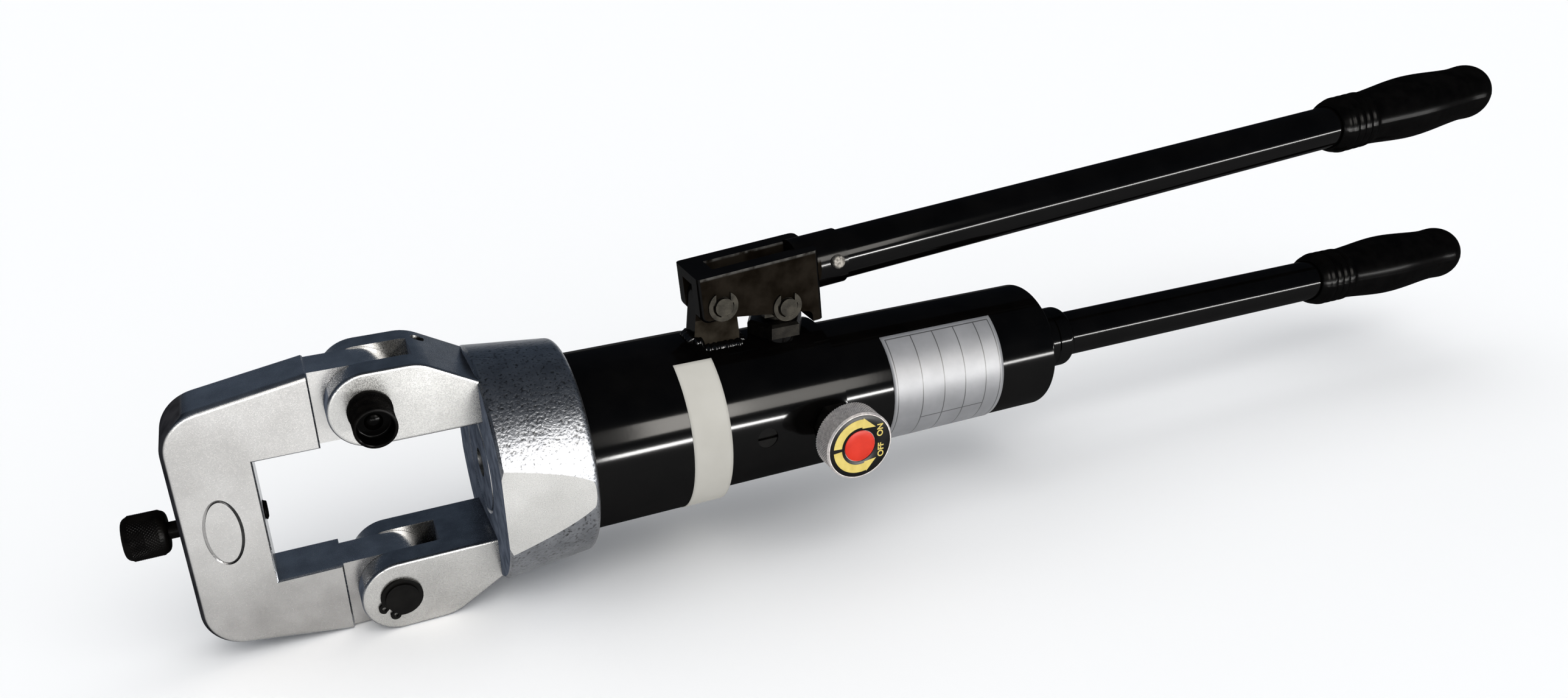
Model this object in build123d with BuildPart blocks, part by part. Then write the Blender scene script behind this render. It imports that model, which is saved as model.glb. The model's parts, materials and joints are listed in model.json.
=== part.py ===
from build123d import *
import os
from math import atan2, cos, degrees, hypot, pi, radians, sin, sqrt, tan

# Hand-operated hydraulic swaging tool, in millimetres.
# The origin is the centre of the ram's face with the ram drawn back. +X runs along the ram's axis
# towards the handles, +Z up to the pump lever, and the release knob stands out towards -Y.

# Clearances
running_clearance = 0.05
seat_clearance = 0.03
tongue_clearance = 0.2
slot_clearance = 0.4

# Yoke
window_length = 83.3
window_height = 52.8
yoke_back_wall = 29.2
yoke_thickness = 21.8
yoke_height = 114.8
yoke_taper = 9.2
yoke_corner_radius = 16.5
yoke_edge_radius = 2.2
yoke_edge_chamfer = 0.6
tongue_thickness = 16.0
tongue_length = 19.1
tongue_root = 1.0
tongue_radius = 14.8
badge_height = 28.2
badge_width = 13.8
badge_line = 1.1
badge_depth = 0.7

# Clevis arms of the collar
cross_pin_diameter = 13.0
cross_pin_reach = 40.2
cross_pin_inset = 15.4
arm_width = 37.2
arm_end_radius = 15.25
arm_shoulder_reach = 20.2
arm_shoulder_radius = 18.0
arm_root_height = 45.7
arm_slot_reach = 21.2
arm_edge_radius = 1.2

# Collar
collar_length = 38.0
collar_front_diameter = 98.2
collar_rear_diameter = 91.0
collar_flats = 90.8
collar_wall = 9.0
collar_rear_radius = 3.5
collar_rim_chamfer = 1.2

# Fittings of the head
circlip_thickness = 1.2
circlip_ring = 2.3
circlip_groove_depth = 0.6
circlip_lug_radius = 2.1
circlip_hole_radius = 0.9
circlip_mouth_angle = 225.0
circlip_eye_angle = 20.0
pin_overhang = 2.2
latch_knob_diameter = 16.0
latch_knob_length = 16.6
latch_flange_diameter = 16.6
latch_flange_length = 2.2
latch_recess_diameter = 13.2
latch_recess_depth = 6.5
latch_stud_diameter = 8.0
latch_stud_length = 8.0
set_screw_diameter = 5.0
set_screw_length = 6.0
set_screw_reach = 16.5
set_screw_offset = 11.0
set_screw_key = 2.5
set_screw_depth = 1.0
die_screw_diameter = 8.0
die_screw_tip = 1.4
die_screw_neck_diameter = 6.6
die_screw_neck = 4.0
die_knob_diameter = 17.6
die_knob_length = 15.2
die_knob_radius = 3.0

# Cylinder, ram and return spring
cylinder_diameter = 76.3
cylinder_bore = 56.0
cylinder_end_radius = 3.5
ram_diameter = 42.0
ram_stroke = 30.0
ram_edge_chamfer = 0.8
piston_length = 20.0
piston_gap = 3.3
seal_width = 5.0
seal_depth = 3.5
wiper_width = 3.5
wiper_depth = 3.0
wiper_setback = 3.0
spring_wire = 5.0
spring_turns = 4
spring_spare = 2.0
die_socket_diameter = 12.4
die_socket_depth = 22.0

# Pump body
pump_diameter = 68.2
pump_length = 56.0
spigot_diameter = 60.0
spigot_length = 14.0
rear_spigot_length = 8.0
neck_diameter = 49.0
neck_length = 6.0
static_seal_width = 3.4
static_seal_depth = 2.2
passage_diameter = 3.6
gallery_setback = 12.0
return_setback = 22.0

# Lever linkage
pivot_offset = 6.7
pivot_height = 55.4
plunger_reach = 29.8
plunger_drop = 5.4
lever_swing = 28.0
lever_tilt = 4.75
lever_rise = 3.8
link_pin_diameter = 8.0

# Plunger and its gland
plunger_diameter = 12.0
plunger_guide = 3.4
pump_chamber = 9.0
packing_wall = 2.95
packing_height = 6.0
gland_shank = 14.5
gland_boss_rise = 0.4
gland_nut_flats = 23.0
gland_nut_height = 6.4
gland_nut_chamfer = 1.2
plunger_eye_radius = 7.0
plunger_eye_play = 0.25
plunger_flat_drop = 7.6

# Check valves
valve_bore = 8.4
valve_ball_diameter = 6.8
valve_chamber = 11.0
valve_insert = 8.0
valve_spring_wire = 0.8
valve_spring_turns = 3
valve_spring_diameter = 4.6
valve_spring_gap = 0.1
strainer_diameter = 12.0
strainer_length = 10.0
strainer_wall = 1.0

# Relief and release valves on the side of the pump body
relief_offset = 17.2
relief_plug_diameter = 9.4
relief_plug_length = 7.0
relief_plug_recess = 0.5
relief_slot_width = 1.4
relief_slot_depth = 1.6
relief_spring_wire = 1.4
relief_spring_turns = 3
relief_spring_diameter = 6.0
seat_ball_diameter = 5.6
seat_depth = 3.0
release_setback = 6.8
release_stem_diameter = 9.2
release_neck_diameter = 7.0
release_gland_flats = 17.0
release_gland_height = 8.0
release_gland_shank = 4.0
release_gland_shank_diameter = 13.0
release_seat_drop = 1.1
release_knob_diameter = 31.0
release_knob_length = 12.0
release_knob_standoff = 11.4
release_knob_edge = 0.8
release_disc_diameter = 15.2
release_disc_depth = 0.5
release_screw_depth = 8.0

# Reservoir
reservoir_diameter = 60.5
reservoir_wall = 3.0
reservoir_length = 115.7
reservoir_end_radius = 1.5
cap_plug_length = 12.0
bladder_wall = 1.5
bladder_gap = 0.35
bladder_end_gap = 6.0
bladder_end_radius = 8.0

# Handles
handle_diameter = 22.2
handle_wall = 2.0
handle_clear = 173.3
cap_neck_diameter = 30.0
cap_neck_length = 14.3
handle_socket_depth = 12.0
handle_nut_length = 9.9
handle_nut_radius = 3.0
handle_nut_groove = 0.8

# Hand grips
grip_lip_wall = 1.0
grip_neck_wall = 3.1
grip_rib_height = 0.7
grip_belly_wall = 5.7
grip_waist_wall = 3.5
grip_end_wall = 3.8
grip_flare_length = 5.0
grip_rib_pitch = 4.75
grip_rib_count = 4
grip_belly_length = 71.0
grip_end_length = 24.5
grip_end_cover = 7.0

# Lever lug, bracket and socket
lug_half_length = 10.5
lug_eye_radius = 9.2
bracket_width = 26.0
bracket_slot = 10.8
bracket_top = 14.0
bracket_front = 10.0
bracket_heel = 6.8
bracket_heel_length = 6.4
bracket_heel_radius = 4.0
bracket_shoulder = 13.4
bracket_block = 8.4
bracket_slot_end = 38.0
bracket_boss_radius = 7.0
bracket_bridge_gap = 0.6
bracket_front_radius = 2.0
bracket_rear_radius = 2.5
stop_drop = 18.4
stop_width = 5.2
stop_arch_radius = 3.0
socket_wall = 1.0
socket_length = 14.6
socket_depth = 2.5
lever_clear = 296.0
rivet_diameter = 5.0
rivet_head_diameter = 6.2
rivet_head_height = 1.8
rivet_setback = 5.4
rivet_turn = 10.0
clip_thickness = 1.0
clip_ring = 1.9
clip_outer_radius = 6.65
clip_groove_depth = 0.55
clip_tooth_width = 2.4
clip_mouth = 6.6
clip_tooth_angle = 30.0
clip_side_gap = 0.05

# Stations along the ram's axis
window_x = -window_length
yoke_back_x = window_x - yoke_back_wall
cross_pin_x = -cross_pin_reach
step_x = cross_pin_x - tongue_length
spring_solid = spring_turns * spring_wire
piston_front_x = collar_wall + spring_solid + spring_spare + ram_stroke
piston_back_x = piston_front_x + piston_length
spigot_x = piston_back_x + piston_gap
cylinder_end_x = spigot_x + spigot_length
pump_end_x = cylinder_end_x + pump_length
rear_spigot_x = pump_end_x + rear_spigot_length
neck_x = rear_spigot_x + neck_length
reservoir_end_x = pump_end_x + reservoir_length
cap_plug_x = reservoir_end_x - cap_plug_length
cap_neck_x = reservoir_end_x + cap_neck_length
handle_nut_x = cap_neck_x + handle_nut_length
handle_grip_x = handle_nut_x + handle_clear
relief_x = cylinder_end_x + relief_offset
release_x = pump_end_x - release_setback

# Radii and heights that several pieces share
cross_pin_radius = cross_pin_diameter / 2
cross_pin_z = yoke_height / 2 - cross_pin_inset
arm_half_width = arm_width / 2
cylinder_radius = cylinder_diameter / 2
bore_radius = cylinder_bore / 2
ram_radius = ram_diameter / 2
pump_radius = pump_diameter / 2
spigot_radius = spigot_diameter / 2
reservoir_radius = reservoir_diameter / 2
reservoir_bore_radius = reservoir_radius - reservoir_wall
rear_spigot_radius = reservoir_bore_radius - seat_clearance
neck_radius = neck_diameter / 2
passage_radius = passage_diameter / 2
plunger_radius = plunger_diameter / 2
packing_radius = plunger_radius + packing_wall
valve_bore_radius = valve_bore / 2
valve_ball_radius = valve_ball_diameter / 2
seat_ball_radius = seat_ball_diameter / 2
handle_radius = handle_diameter / 2
link_pin_radius = link_pin_diameter / 2
bracket_half_width = bracket_width / 2
bracket_half_slot = bracket_slot / 2

# Pump linkage: the plunger pin swings about the lever's pivot, and the plunger only rises
pivot_x = cylinder_end_x + pivot_offset
plunger_x = pivot_x + plunger_reach
plunger_pin_z = pivot_height - plunger_drop
link_length = hypot(plunger_reach, plunger_drop)
link_angle = -degrees(atan2(plunger_drop, plunger_reach))
raised_angle = radians(link_angle + lever_swing)
pump_stroke = link_length * (sin(raised_angle) - sin(radians(link_angle)))
gland_seat_z = pump_radius + gland_boss_rise
gland_top_z = gland_seat_z + gland_nut_height
packing_top_z = gland_seat_z - gland_shank
packing_bottom_z = packing_top_z - packing_height
plunger_tip_z = packing_bottom_z - pump_stroke - plunger_guide
chamber_z = plunger_tip_z - pump_chamber
valve_z = plunger_tip_z - pump_chamber / 2

# Planes of the lever: u runs along the lever, v across it, from the pivot
lever_direction = Vector(cos(radians(lever_tilt)), 0, sin(radians(lever_tilt)))
lever_plane = Plane(origin=(pivot_x, 0, pivot_height), x_dir=lever_direction, z_dir=(0, -1, 0))
tube_plane = Plane(lever_plane.from_local_coords((0, lever_rise, 0)), lever_direction, (0, -1, 0))
tube_section = Plane(tube_plane.origin, (0, 1, 0), lever_direction)
plunger_pin_u = link_length * cos(radians(link_angle - lever_tilt))
plunger_pin_v = link_length * sin(radians(link_angle - lever_tilt))
bracket_rear = bracket_slot_end + bracket_block
socket_end = bracket_rear + socket_length
lever_start = bracket_rear - socket_depth
lever_grip_start = socket_end + lever_clear

# Hand grip sizes, the same on both handles
grip_belly_start = grip_flare_length + grip_rib_count * grip_rib_pitch
grip_waist = grip_belly_start + grip_belly_length
grip_length = grip_waist + grip_end_length
grip_tube_end = grip_length - grip_end_cover


# Half the width of a hexagon across its corners
def corner_radius(flats):
    return flats / sqrt(3)


# Cut a round hole into the part being built, from a plane and against its normal
def drill(plane, radius, depth):
    with BuildSketch(plane) as mouth:
        Circle(radius)
    extrude(mouth.sketch, amount=-depth, mode=Mode.SUBTRACT)


# A plain ring round the X axis
def ring(start_x, end_x, inner_radius, outer_radius):
    with BuildPart() as piece:
        with BuildSketch(Plane.YZ.offset(start_x)):
            Circle(outer_radius)
            Circle(inner_radius, mode=Mode.SUBTRACT)
        extrude(amount=end_x - start_x)
    return piece


# A valve ball
def ball(center, radius):
    with BuildPart() as piece:
        with Locations(center):
            Sphere(radius)
    return piece


# A compression spring that stands on a plane: each half turn is two arcs that meet without a kink
def coil_spring(base, mean_radius, wire, length, turns):
    half_turns = 2 * turns
    rise = (length - wire) / (half_turns * pi)

    def point(angle):
        local = (mean_radius * cos(angle), mean_radius * sin(angle), wire / 2 + rise * angle)
        return base.from_local_coords(local)

    def tangent(angle):
        local = Vector(-mean_radius * sin(angle), mean_radius * cos(angle), rise)
        return (base.from_local_coords(local) - base.origin).normalized()

    with BuildPart() as spring:
        with BuildLine() as path:
            for step in range(half_turns):
                start = point(step * pi)
                end = point((step + 1) * pi)
                leave = tangent(step * pi)
                arrive = tangent((step + 1) * pi)
                chord = end - start
                lean = leave + arrive
                square = 4 - lean.dot(lean)
                along = chord.dot(lean)
                reach = (sqrt(along**2 + chord.dot(chord) * square) - along) / square
                first = start + leave * reach
                second = end - arrive * reach
                middle = (first + second) * 0.5
                TangentArc(start, middle, tangent=leave)
                TangentArc(middle, end, tangent=(second - first).normalized())
        with BuildSketch(Plane(point(0), z_dir=tangent(0))):
            Circle(wire / 2)
        sweep(path=path.line)
    return spring


# A moulded rubber grip: flared lip, round ribs, belly, waist and a round closed end
def hand_grip(plane):
    lip = handle_radius + grip_lip_wall
    neck = handle_radius + grip_neck_wall
    belly = handle_radius + grip_belly_wall
    waist = handle_radius + grip_waist_wall
    end = handle_radius + grip_end_wall
    bore = handle_radius + seat_clearance
    knob_center = grip_length - end
    with BuildPart() as grip:
        with BuildSketch(plane):
            with BuildLine():
                ribs = Spline((0, lip), (grip_flare_length, neck), tangents=[(1, 1), (1, 0)])
                for rib in range(grip_rib_count):
                    rib_start = grip_flare_length + rib * grip_rib_pitch
                    crest = (rib_start + grip_rib_pitch / 2, neck + grip_rib_height)
                    ribs = ThreePointArc(ribs @ 1, crest, (rib_start + grip_rib_pitch, neck))
                middle = (grip_belly_start + grip_belly_length / 2, belly)
                back = Spline(ribs @ 1, middle, (grip_waist, waist), (knob_center, end))
                crown = RadiusArc(back @ 1, (grip_length, 0), end)
                Polyline(crown @ 1, (grip_tube_end, 0), (grip_tube_end, bore), (0, bore), (0, lip))
            make_face()
        revolve(axis=Axis(plane.origin, plane.x_dir))
    return grip


# Yoke: a tapered block with rounded edges, cut off square at the step, with the die window through it.
# The edges of both cuts are chamfered.
yoke_half_height = yoke_height / 2
back_half_height = yoke_half_height - (step_x - yoke_back_x) * tan(radians(yoke_taper))
front_half_height = yoke_half_height + tongue_length * tan(radians(yoke_taper))
with BuildPart() as yoke:
    with BuildSketch(Plane.XZ) as yoke_outline:
        with BuildLine():
            Polyline(
                (cross_pin_x, front_half_height),
                (yoke_back_x, back_half_height),
                (yoke_back_x, -back_half_height),
                (cross_pin_x, -front_half_height),
                close=True,
            )
        make_face()
        fillet(yoke_outline.vertices().group_by(Axis.X)[0], yoke_corner_radius)
    extrude(amount=yoke_thickness / 2, both=True)
    fillet(yoke.faces().filter_by(Axis.Y).edges(), yoke_edge_radius)
    split(bisect_by=Plane.YZ.offset(step_x), keep=Keep.BOTTOM)
    with BuildSketch(Plane.XZ):
        with Locations((window_x, 0)):
            Rectangle(window_length, window_height, align=(Align.MIN, Align.CENTER))
    extrude(amount=yoke_thickness, both=True, mode=Mode.SUBTRACT)
    for direction in (Axis.Z, Axis.X):
        cut_edges = yoke.faces().filter_by(Axis.Y).edges().filter_by_position(Axis.X, window_x, step_x)
        chamfer(cut_edges.filter_by(direction), yoke_edge_chamfer)
    with BuildSketch(Plane.XZ):
        for side in (1, -1):
            with Locations((cross_pin_x, side * cross_pin_z)):
                Circle(tongue_radius)
                Rectangle(tongue_length + tongue_root, 2 * tongue_radius, align=(Align.MAX, Align.CENTER))
    extrude(amount=tongue_thickness / 2, both=True)
    with BuildSketch(Plane.XZ):
        with Locations((cross_pin_x, cross_pin_z), (cross_pin_x, -cross_pin_z)):
            Circle(cross_pin_radius + running_clearance)
    extrude(amount=yoke_thickness, both=True, mode=Mode.SUBTRACT)
    drill(Plane.YZ.offset(window_x), die_screw_diameter / 2 + running_clearance, yoke_back_wall)
    with BuildSketch(Plane.XZ.offset(yoke_thickness / 2)):
        with Locations(((window_x + yoke_back_x) / 2, 0)):
            Ellipse(badge_width / 2, badge_height / 2)
            Ellipse(badge_width / 2 - badge_line, badge_height / 2 - badge_line, mode=Mode.SUBTRACT)
    extrude(amount=-badge_depth, mode=Mode.SUBTRACT)

# Clevis arms: the root of each is sunk into the collar's front wall
arm_inner = cross_pin_z - arm_end_radius
arm_outer = cross_pin_z + arm_end_radius
arm_slope = (arm_outer - arm_root_height) / arm_shoulder_reach
arm_root_x = collar_wall / 2
arm_slot_half = tongue_thickness / 2 + tongue_clearance
with BuildPart() as arms:
    with BuildSketch(Plane.XZ) as arm_outline:
        with BuildLine():
            Polyline(
                (arm_root_x, arm_inner),
                (arm_root_x, arm_root_height - arm_root_x * arm_slope),
                (-arm_shoulder_reach, arm_outer),
                (cross_pin_x, arm_outer),
                (cross_pin_x, arm_inner),
                close=True,
            )
        make_face()
        shoulder = arm_outline.vertices().group_by(Axis.Y)[-1].sort_by(Axis.X)[-1]
        fillet(shoulder, arm_shoulder_radius)
        with Locations((cross_pin_x, cross_pin_z)):
            Circle(arm_end_radius)
    extrude(amount=arm_half_width, both=True)
    fillet(arms.faces().filter_by(Axis.Y).edges(), arm_edge_radius)
    mirror(about=Plane.XY)
    with BuildSketch(Plane.XZ):
        with Locations((-arm_slot_reach, 0)):
            Rectangle(arm_outer, 3 * arm_outer, align=(Align.MAX, Align.CENTER))
    extrude(amount=arm_slot_half, both=True, mode=Mode.SUBTRACT)

# Collar: a tapered ring screwed over the cylinder, with the two arms and a flat on each side
collar_bore = ram_radius + running_clearance
set_screw_z = arm_root_height + set_screw_reach * arm_slope
set_screw_top = set_screw_z - set_screw_depth
set_screw_place = (-set_screw_reach, set_screw_offset, set_screw_top)
set_screw_plane = Plane.XY.offset(set_screw_top).shift_origin(set_screw_place)
with BuildPart() as clevis_collar:
    with BuildSketch(Plane.XZ):
        with BuildLine():
            Polyline(
                (0, 0),
                (0, collar_front_diameter / 2 - collar_rim_chamfer),
                (collar_rim_chamfer, collar_front_diameter / 2),
                (collar_length, collar_rear_diameter / 2),
                (collar_length, 0),
                close=True,
            )
        make_face()
    revolve(axis=Axis.X)
    collar_end = clevis_collar.edges().filter_by(GeomType.CIRCLE).group_by(Axis.X)[-1]
    fillet(collar_end.sort_by(SortBy.RADIUS)[-1], collar_rear_radius)
    for side in (1, -1):
        with BuildSketch(Plane.XZ.offset(side * collar_flats / 2)):
            Rectangle(4 * collar_length, 2 * collar_flats)
        extrude(amount=side * collar_flats, mode=Mode.SUBTRACT)
    add(arms.part)
    with BuildSketch(Plane.XZ):
        with BuildLine():
            Polyline(
                (0, 0),
                (0, collar_bore + ram_edge_chamfer),
                (ram_edge_chamfer, collar_bore),
                (wiper_setback, collar_bore),
                (wiper_setback, collar_bore + wiper_depth),
                (wiper_setback + wiper_width, collar_bore + wiper_depth),
                (wiper_setback + wiper_width, collar_bore),
                (collar_wall, collar_bore),
                (collar_wall, cylinder_radius + seat_clearance),
                (collar_length, cylinder_radius + seat_clearance),
                (collar_length, 0),
                close=True,
            )
        make_face()
    revolve(axis=Axis.X, mode=Mode.SUBTRACT)
    with BuildSketch(Plane.XZ):
        with Locations((cross_pin_x, cross_pin_z), (cross_pin_x, -cross_pin_z)):
            Circle(cross_pin_radius + running_clearance)
    extrude(amount=arm_width, both=True, mode=Mode.SUBTRACT)
    drill(set_screw_plane, set_screw_diameter / 2 + seat_clearance, set_screw_length)
    drill(set_screw_plane, set_screw_diameter / 2 + seat_clearance, -set_screw_length)

# Set screw in the upper arm, with a hexagon socket
with BuildPart() as arm_set_screw:
    with BuildSketch(set_screw_plane):
        Circle(set_screw_diameter / 2)
    extrude(amount=-set_screw_length)
    with BuildSketch(set_screw_plane):
        RegularPolygon(set_screw_key / 2, 6, major_radius=False)
    extrude(amount=-set_screw_length / 2, mode=Mode.SUBTRACT)

# Hinge pin, grooved at both ends for its rings
hinge_plane = Plane.XZ.shift_origin((cross_pin_x, 0, -cross_pin_z))
circlip_groove_radius = cross_pin_radius - circlip_groove_depth
with BuildPart() as hinge_pin:
    with BuildSketch(hinge_plane):
        Circle(cross_pin_radius)
    extrude(amount=arm_half_width + pin_overhang, both=True)
    for side in (1, -1):
        with BuildSketch(hinge_plane.offset(side * arm_half_width)):
            Circle(2 * cross_pin_radius)
            Circle(circlip_groove_radius, mode=Mode.SUBTRACT)
        extrude(amount=side * (circlip_thickness + 2 * seat_clearance), mode=Mode.SUBTRACT)

# Rings of the hinge pin: an open ring with two eyes at its ends
circlip_radius = circlip_groove_radius + circlip_ring
with BuildPart() as hinge_circlips:
    for side in (1, -1):
        face_y = side * (arm_half_width + seat_clearance)
        with BuildSketch(hinge_plane.offset(face_y)):
            Circle(circlip_radius)
            for turn in (circlip_eye_angle, -circlip_eye_angle):
                with PolarLocations(circlip_radius, 1, start_angle=circlip_mouth_angle + turn):
                    Circle(circlip_lug_radius)
                    Circle(circlip_hole_radius, mode=Mode.SUBTRACT)
            Circle(circlip_groove_radius + seat_clearance, mode=Mode.SUBTRACT)
            with PolarLocations(circlip_radius, 1, start_angle=circlip_mouth_angle):
                Rectangle(4 * circlip_ring, circlip_ring, mode=Mode.SUBTRACT)
        extrude(amount=side * circlip_thickness)

# Latch pin: it slides out of the arm and the tongue to let the yoke swing
latch_plane = Plane.XZ.shift_origin((cross_pin_x, 0, cross_pin_z))
latch_face = arm_half_width + seat_clearance
with BuildPart() as latch_pin:
    with BuildSketch(latch_plane.offset(latch_face)):
        Circle(cross_pin_radius)
    extrude(amount=-arm_width)
    chamfer(latch_pin.edges().group_by(Axis.Y)[-1], ram_edge_chamfer)
    with BuildSketch(latch_plane.offset(latch_face)):
        Circle(latch_stud_diameter / 2)
    extrude(amount=latch_stud_length)

# Latch knob, screwed onto the pin's stud
with BuildPart() as latch_knob:
    with BuildSketch(latch_plane.offset(latch_face)):
        Circle(latch_knob_diameter / 2)
    extrude(amount=latch_knob_length)
    with BuildSketch(latch_plane.offset(latch_face)):
        Circle(latch_flange_diameter / 2)
    extrude(amount=latch_flange_length)
    with BuildSketch(latch_plane.offset(latch_face)):
        Circle(latch_stud_diameter / 2 + seat_clearance)
    extrude(amount=latch_stud_length + seat_clearance, mode=Mode.SUBTRACT)
    drill(latch_plane.offset(latch_face + latch_knob_length), latch_recess_diameter / 2, latch_recess_depth)
    chamfer(latch_knob.edges().group_by(Axis.Y)[0].sort_by(SortBy.RADIUS)[-1], ram_edge_chamfer)

# Thumb screw through the yoke's back wall
die_knob_x = yoke_back_x - die_screw_neck
with BuildPart() as die_screw:
    with BuildSketch(Plane.YZ.offset(die_knob_x)):
        Circle(die_knob_diameter / 2)
    extrude(amount=-die_knob_length)
    fillet(die_screw.edges().filter_by(GeomType.CIRCLE), die_knob_radius)
    with BuildSketch(Plane.YZ.offset(die_knob_x)):
        Circle(die_screw_neck_diameter / 2)
    extrude(amount=die_screw_neck)
    with BuildSketch(Plane.YZ.offset(yoke_back_x)):
        Circle(die_screw_diameter / 2)
    extrude(amount=yoke_back_wall + die_screw_tip)
    chamfer(die_screw.edges().group_by(Axis.X)[-1], ram_edge_chamfer)

# Front cylinder
with BuildPart() as front_cylinder:
    with BuildSketch(Plane.YZ.offset(collar_wall)):
        Circle(cylinder_radius)
        Circle(bore_radius, mode=Mode.SUBTRACT)
    extrude(amount=cylinder_end_x - collar_wall)
    drill(Plane.YZ.offset(cylinder_end_x), spigot_radius + seat_clearance, spigot_length)
    cylinder_rim = front_cylinder.edges().filter_by(GeomType.CIRCLE).group_by(Axis.X)[-1]
    fillet(cylinder_rim.sort_by(SortBy.RADIUS)[-1], cylinder_end_radius)

# Ram and piston, with the die socket in its face
piston_radius = bore_radius - running_clearance
seal_inner = piston_radius - seal_depth
seal_x = (piston_front_x + piston_back_x - seal_width) / 2
with BuildPart() as ram:
    with BuildSketch(Plane.XZ):
        with BuildLine():
            Polyline(
                (0, 0),
                (0, ram_radius - ram_edge_chamfer),
                (ram_edge_chamfer, ram_radius),
                (piston_front_x, ram_radius),
                (piston_front_x, piston_radius),
                (seal_x, piston_radius),
                (seal_x, seal_inner),
                (seal_x + seal_width, seal_inner),
                (seal_x + seal_width, piston_radius),
                (piston_back_x, piston_radius),
                (piston_back_x, 0),
                close=True,
            )
        make_face()
    revolve(axis=Axis.X)
    drill(Plane.YZ, die_socket_diameter / 2, -die_socket_depth)

ram_seal = ring(seal_x, seal_x + seal_width, seal_inner, piston_radius)
ram_wiper = ring(wiper_setback, wiper_setback + wiper_width, collar_bore, collar_bore + wiper_depth)

# Return spring round the ram
return_spring = coil_spring(
    Plane.YZ.offset(collar_wall + seat_clearance),
    (ram_radius + bore_radius) / 2,
    spring_wire,
    piston_front_x - collar_wall - 2 * seat_clearance,
    spring_turns,
)

# Pump body: two spigots, the gland's boss, the plunger's bore, check valves, and the side bores
gallery_y = -gallery_setback
return_y = -return_setback
seat_y = gallery_y - seat_depth
gland_radius = packing_radius + seat_clearance
suction_seat_x = neck_x - valve_insert
suction_chamber_x = suction_seat_x - valve_chamber
delivery_seat_x = spigot_x + valve_insert + valve_chamber
release_stem_radius = release_stem_diameter / 2
release_face_y = release_seat_drop - pump_radius
release_shank_y = release_face_y + release_gland_shank
release_shank_radius = release_gland_shank_diameter / 2
static_seal_x = spigot_x + (spigot_length - static_seal_width) / 2
rear_seal_x = pump_end_x + (rear_spigot_length - static_seal_width) / 2
cap_seal_x = cap_plug_x + (cap_plug_length - static_seal_width) / 2
static_seal_inner = spigot_radius - static_seal_depth
rear_seal_inner = rear_spigot_radius - static_seal_depth
plunger_plane = Plane.XY.shift_origin((plunger_x, 0, 0))
relief_plane = Plane.XZ.shift_origin((relief_x, 0, 0))
release_plane = Plane.XZ.shift_origin((release_x, 0, 0))
valve_plane = Plane.YZ.shift_origin((0, 0, valve_z))
gallery_plane = Plane.YZ.shift_origin((0, gallery_y, 0))
return_plane = Plane.YZ.shift_origin((0, return_y, 0))
with BuildPart() as pump_body:
    with BuildSketch(Plane.XZ):
        with BuildLine():
            Polyline(
                (spigot_x, 0),
                (spigot_x, spigot_radius),
                (static_seal_x, spigot_radius),
                (static_seal_x, static_seal_inner),
                (static_seal_x + static_seal_width, static_seal_inner),
                (static_seal_x + static_seal_width, spigot_radius),
                (cylinder_end_x, spigot_radius),
                (cylinder_end_x, pump_radius),
                (pump_end_x, pump_radius),
                (pump_end_x, rear_spigot_radius),
                (rear_seal_x, rear_spigot_radius),
                (rear_seal_x, rear_seal_inner),
                (rear_seal_x + static_seal_width, rear_seal_inner),
                (rear_seal_x + static_seal_width, rear_spigot_radius),
                (rear_spigot_x, rear_spigot_radius),
                (rear_spigot_x, neck_radius),
                (neck_x, neck_radius),
                (neck_x, 0),
                close=True,
            )
        make_face()
    revolve(axis=Axis.X)
    with BuildSketch(plunger_plane):
        Circle(gland_nut_flats / 2)
    extrude(amount=gland_seat_z)
    drill(plunger_plane.offset(gland_seat_z), gland_radius, gland_seat_z - packing_bottom_z)
    drill(plunger_plane.offset(packing_bottom_z), plunger_radius + running_clearance,
          packing_bottom_z - chamber_z)
    drill(valve_plane.offset(delivery_seat_x), valve_bore_radius, delivery_seat_x - spigot_x)
    drill(valve_plane.offset(plunger_x), passage_radius, plunger_x - delivery_seat_x)
    drill(valve_plane.offset(neck_x), valve_bore_radius, neck_x - suction_chamber_x)
    drill(valve_plane.offset(suction_chamber_x), passage_radius, suction_chamber_x - plunger_x)
    drill(gallery_plane.offset(release_x), passage_radius, release_x - spigot_x)
    drill(return_plane.offset(neck_x), passage_radius, neck_x - relief_x)
    drill(relief_plane.offset(pump_radius), relief_plug_diameter / 2 + seat_clearance, pump_radius + seat_y)
    drill(relief_plane.offset(-seat_y), passage_radius, seat_depth)
    drill(release_plane.offset(pump_radius), corner_radius(release_gland_flats) + slot_clearance,
          release_seat_drop)
    drill(release_plane.offset(-release_face_y), release_shank_radius + seat_clearance, release_gland_shank)
    drill(release_plane.offset(-release_shank_y), release_stem_radius + running_clearance,
          seat_y - release_shank_y)
    drill(release_plane.offset(-seat_y), passage_radius, seat_depth)

# Relief plug with a screwdriver slot, seated in the side of the pump body
relief_face = pump_radius - relief_plug_recess
with BuildPart() as relief_plug:
    with BuildSketch(relief_plane.offset(relief_face)):
        Circle(relief_plug_diameter / 2)
    extrude(amount=-relief_plug_length)
    with BuildSketch(relief_plane.offset(relief_face)):
        Rectangle(2 * relief_plug_diameter, relief_slot_width)
    extrude(amount=-relief_slot_depth, mode=Mode.SUBTRACT)

# Relief and release balls rest on the rims of their seats
seat_lift = sqrt(seat_ball_radius**2 - passage_radius**2)
seat_ball_y = seat_y - seat_lift
ball_back_y = seat_ball_y - seat_ball_radius
relief_ball = ball((relief_x, seat_ball_y, 0), seat_ball_radius)
release_ball = ball((release_x, seat_ball_y, 0), seat_ball_radius)
relief_spring = coil_spring(
    relief_plane.offset(valve_spring_gap - ball_back_y),
    (relief_spring_diameter - relief_spring_wire) / 2,
    relief_spring_wire,
    relief_face - relief_plug_length + ball_back_y - 2 * valve_spring_gap,
    relief_spring_turns,
)

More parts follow.
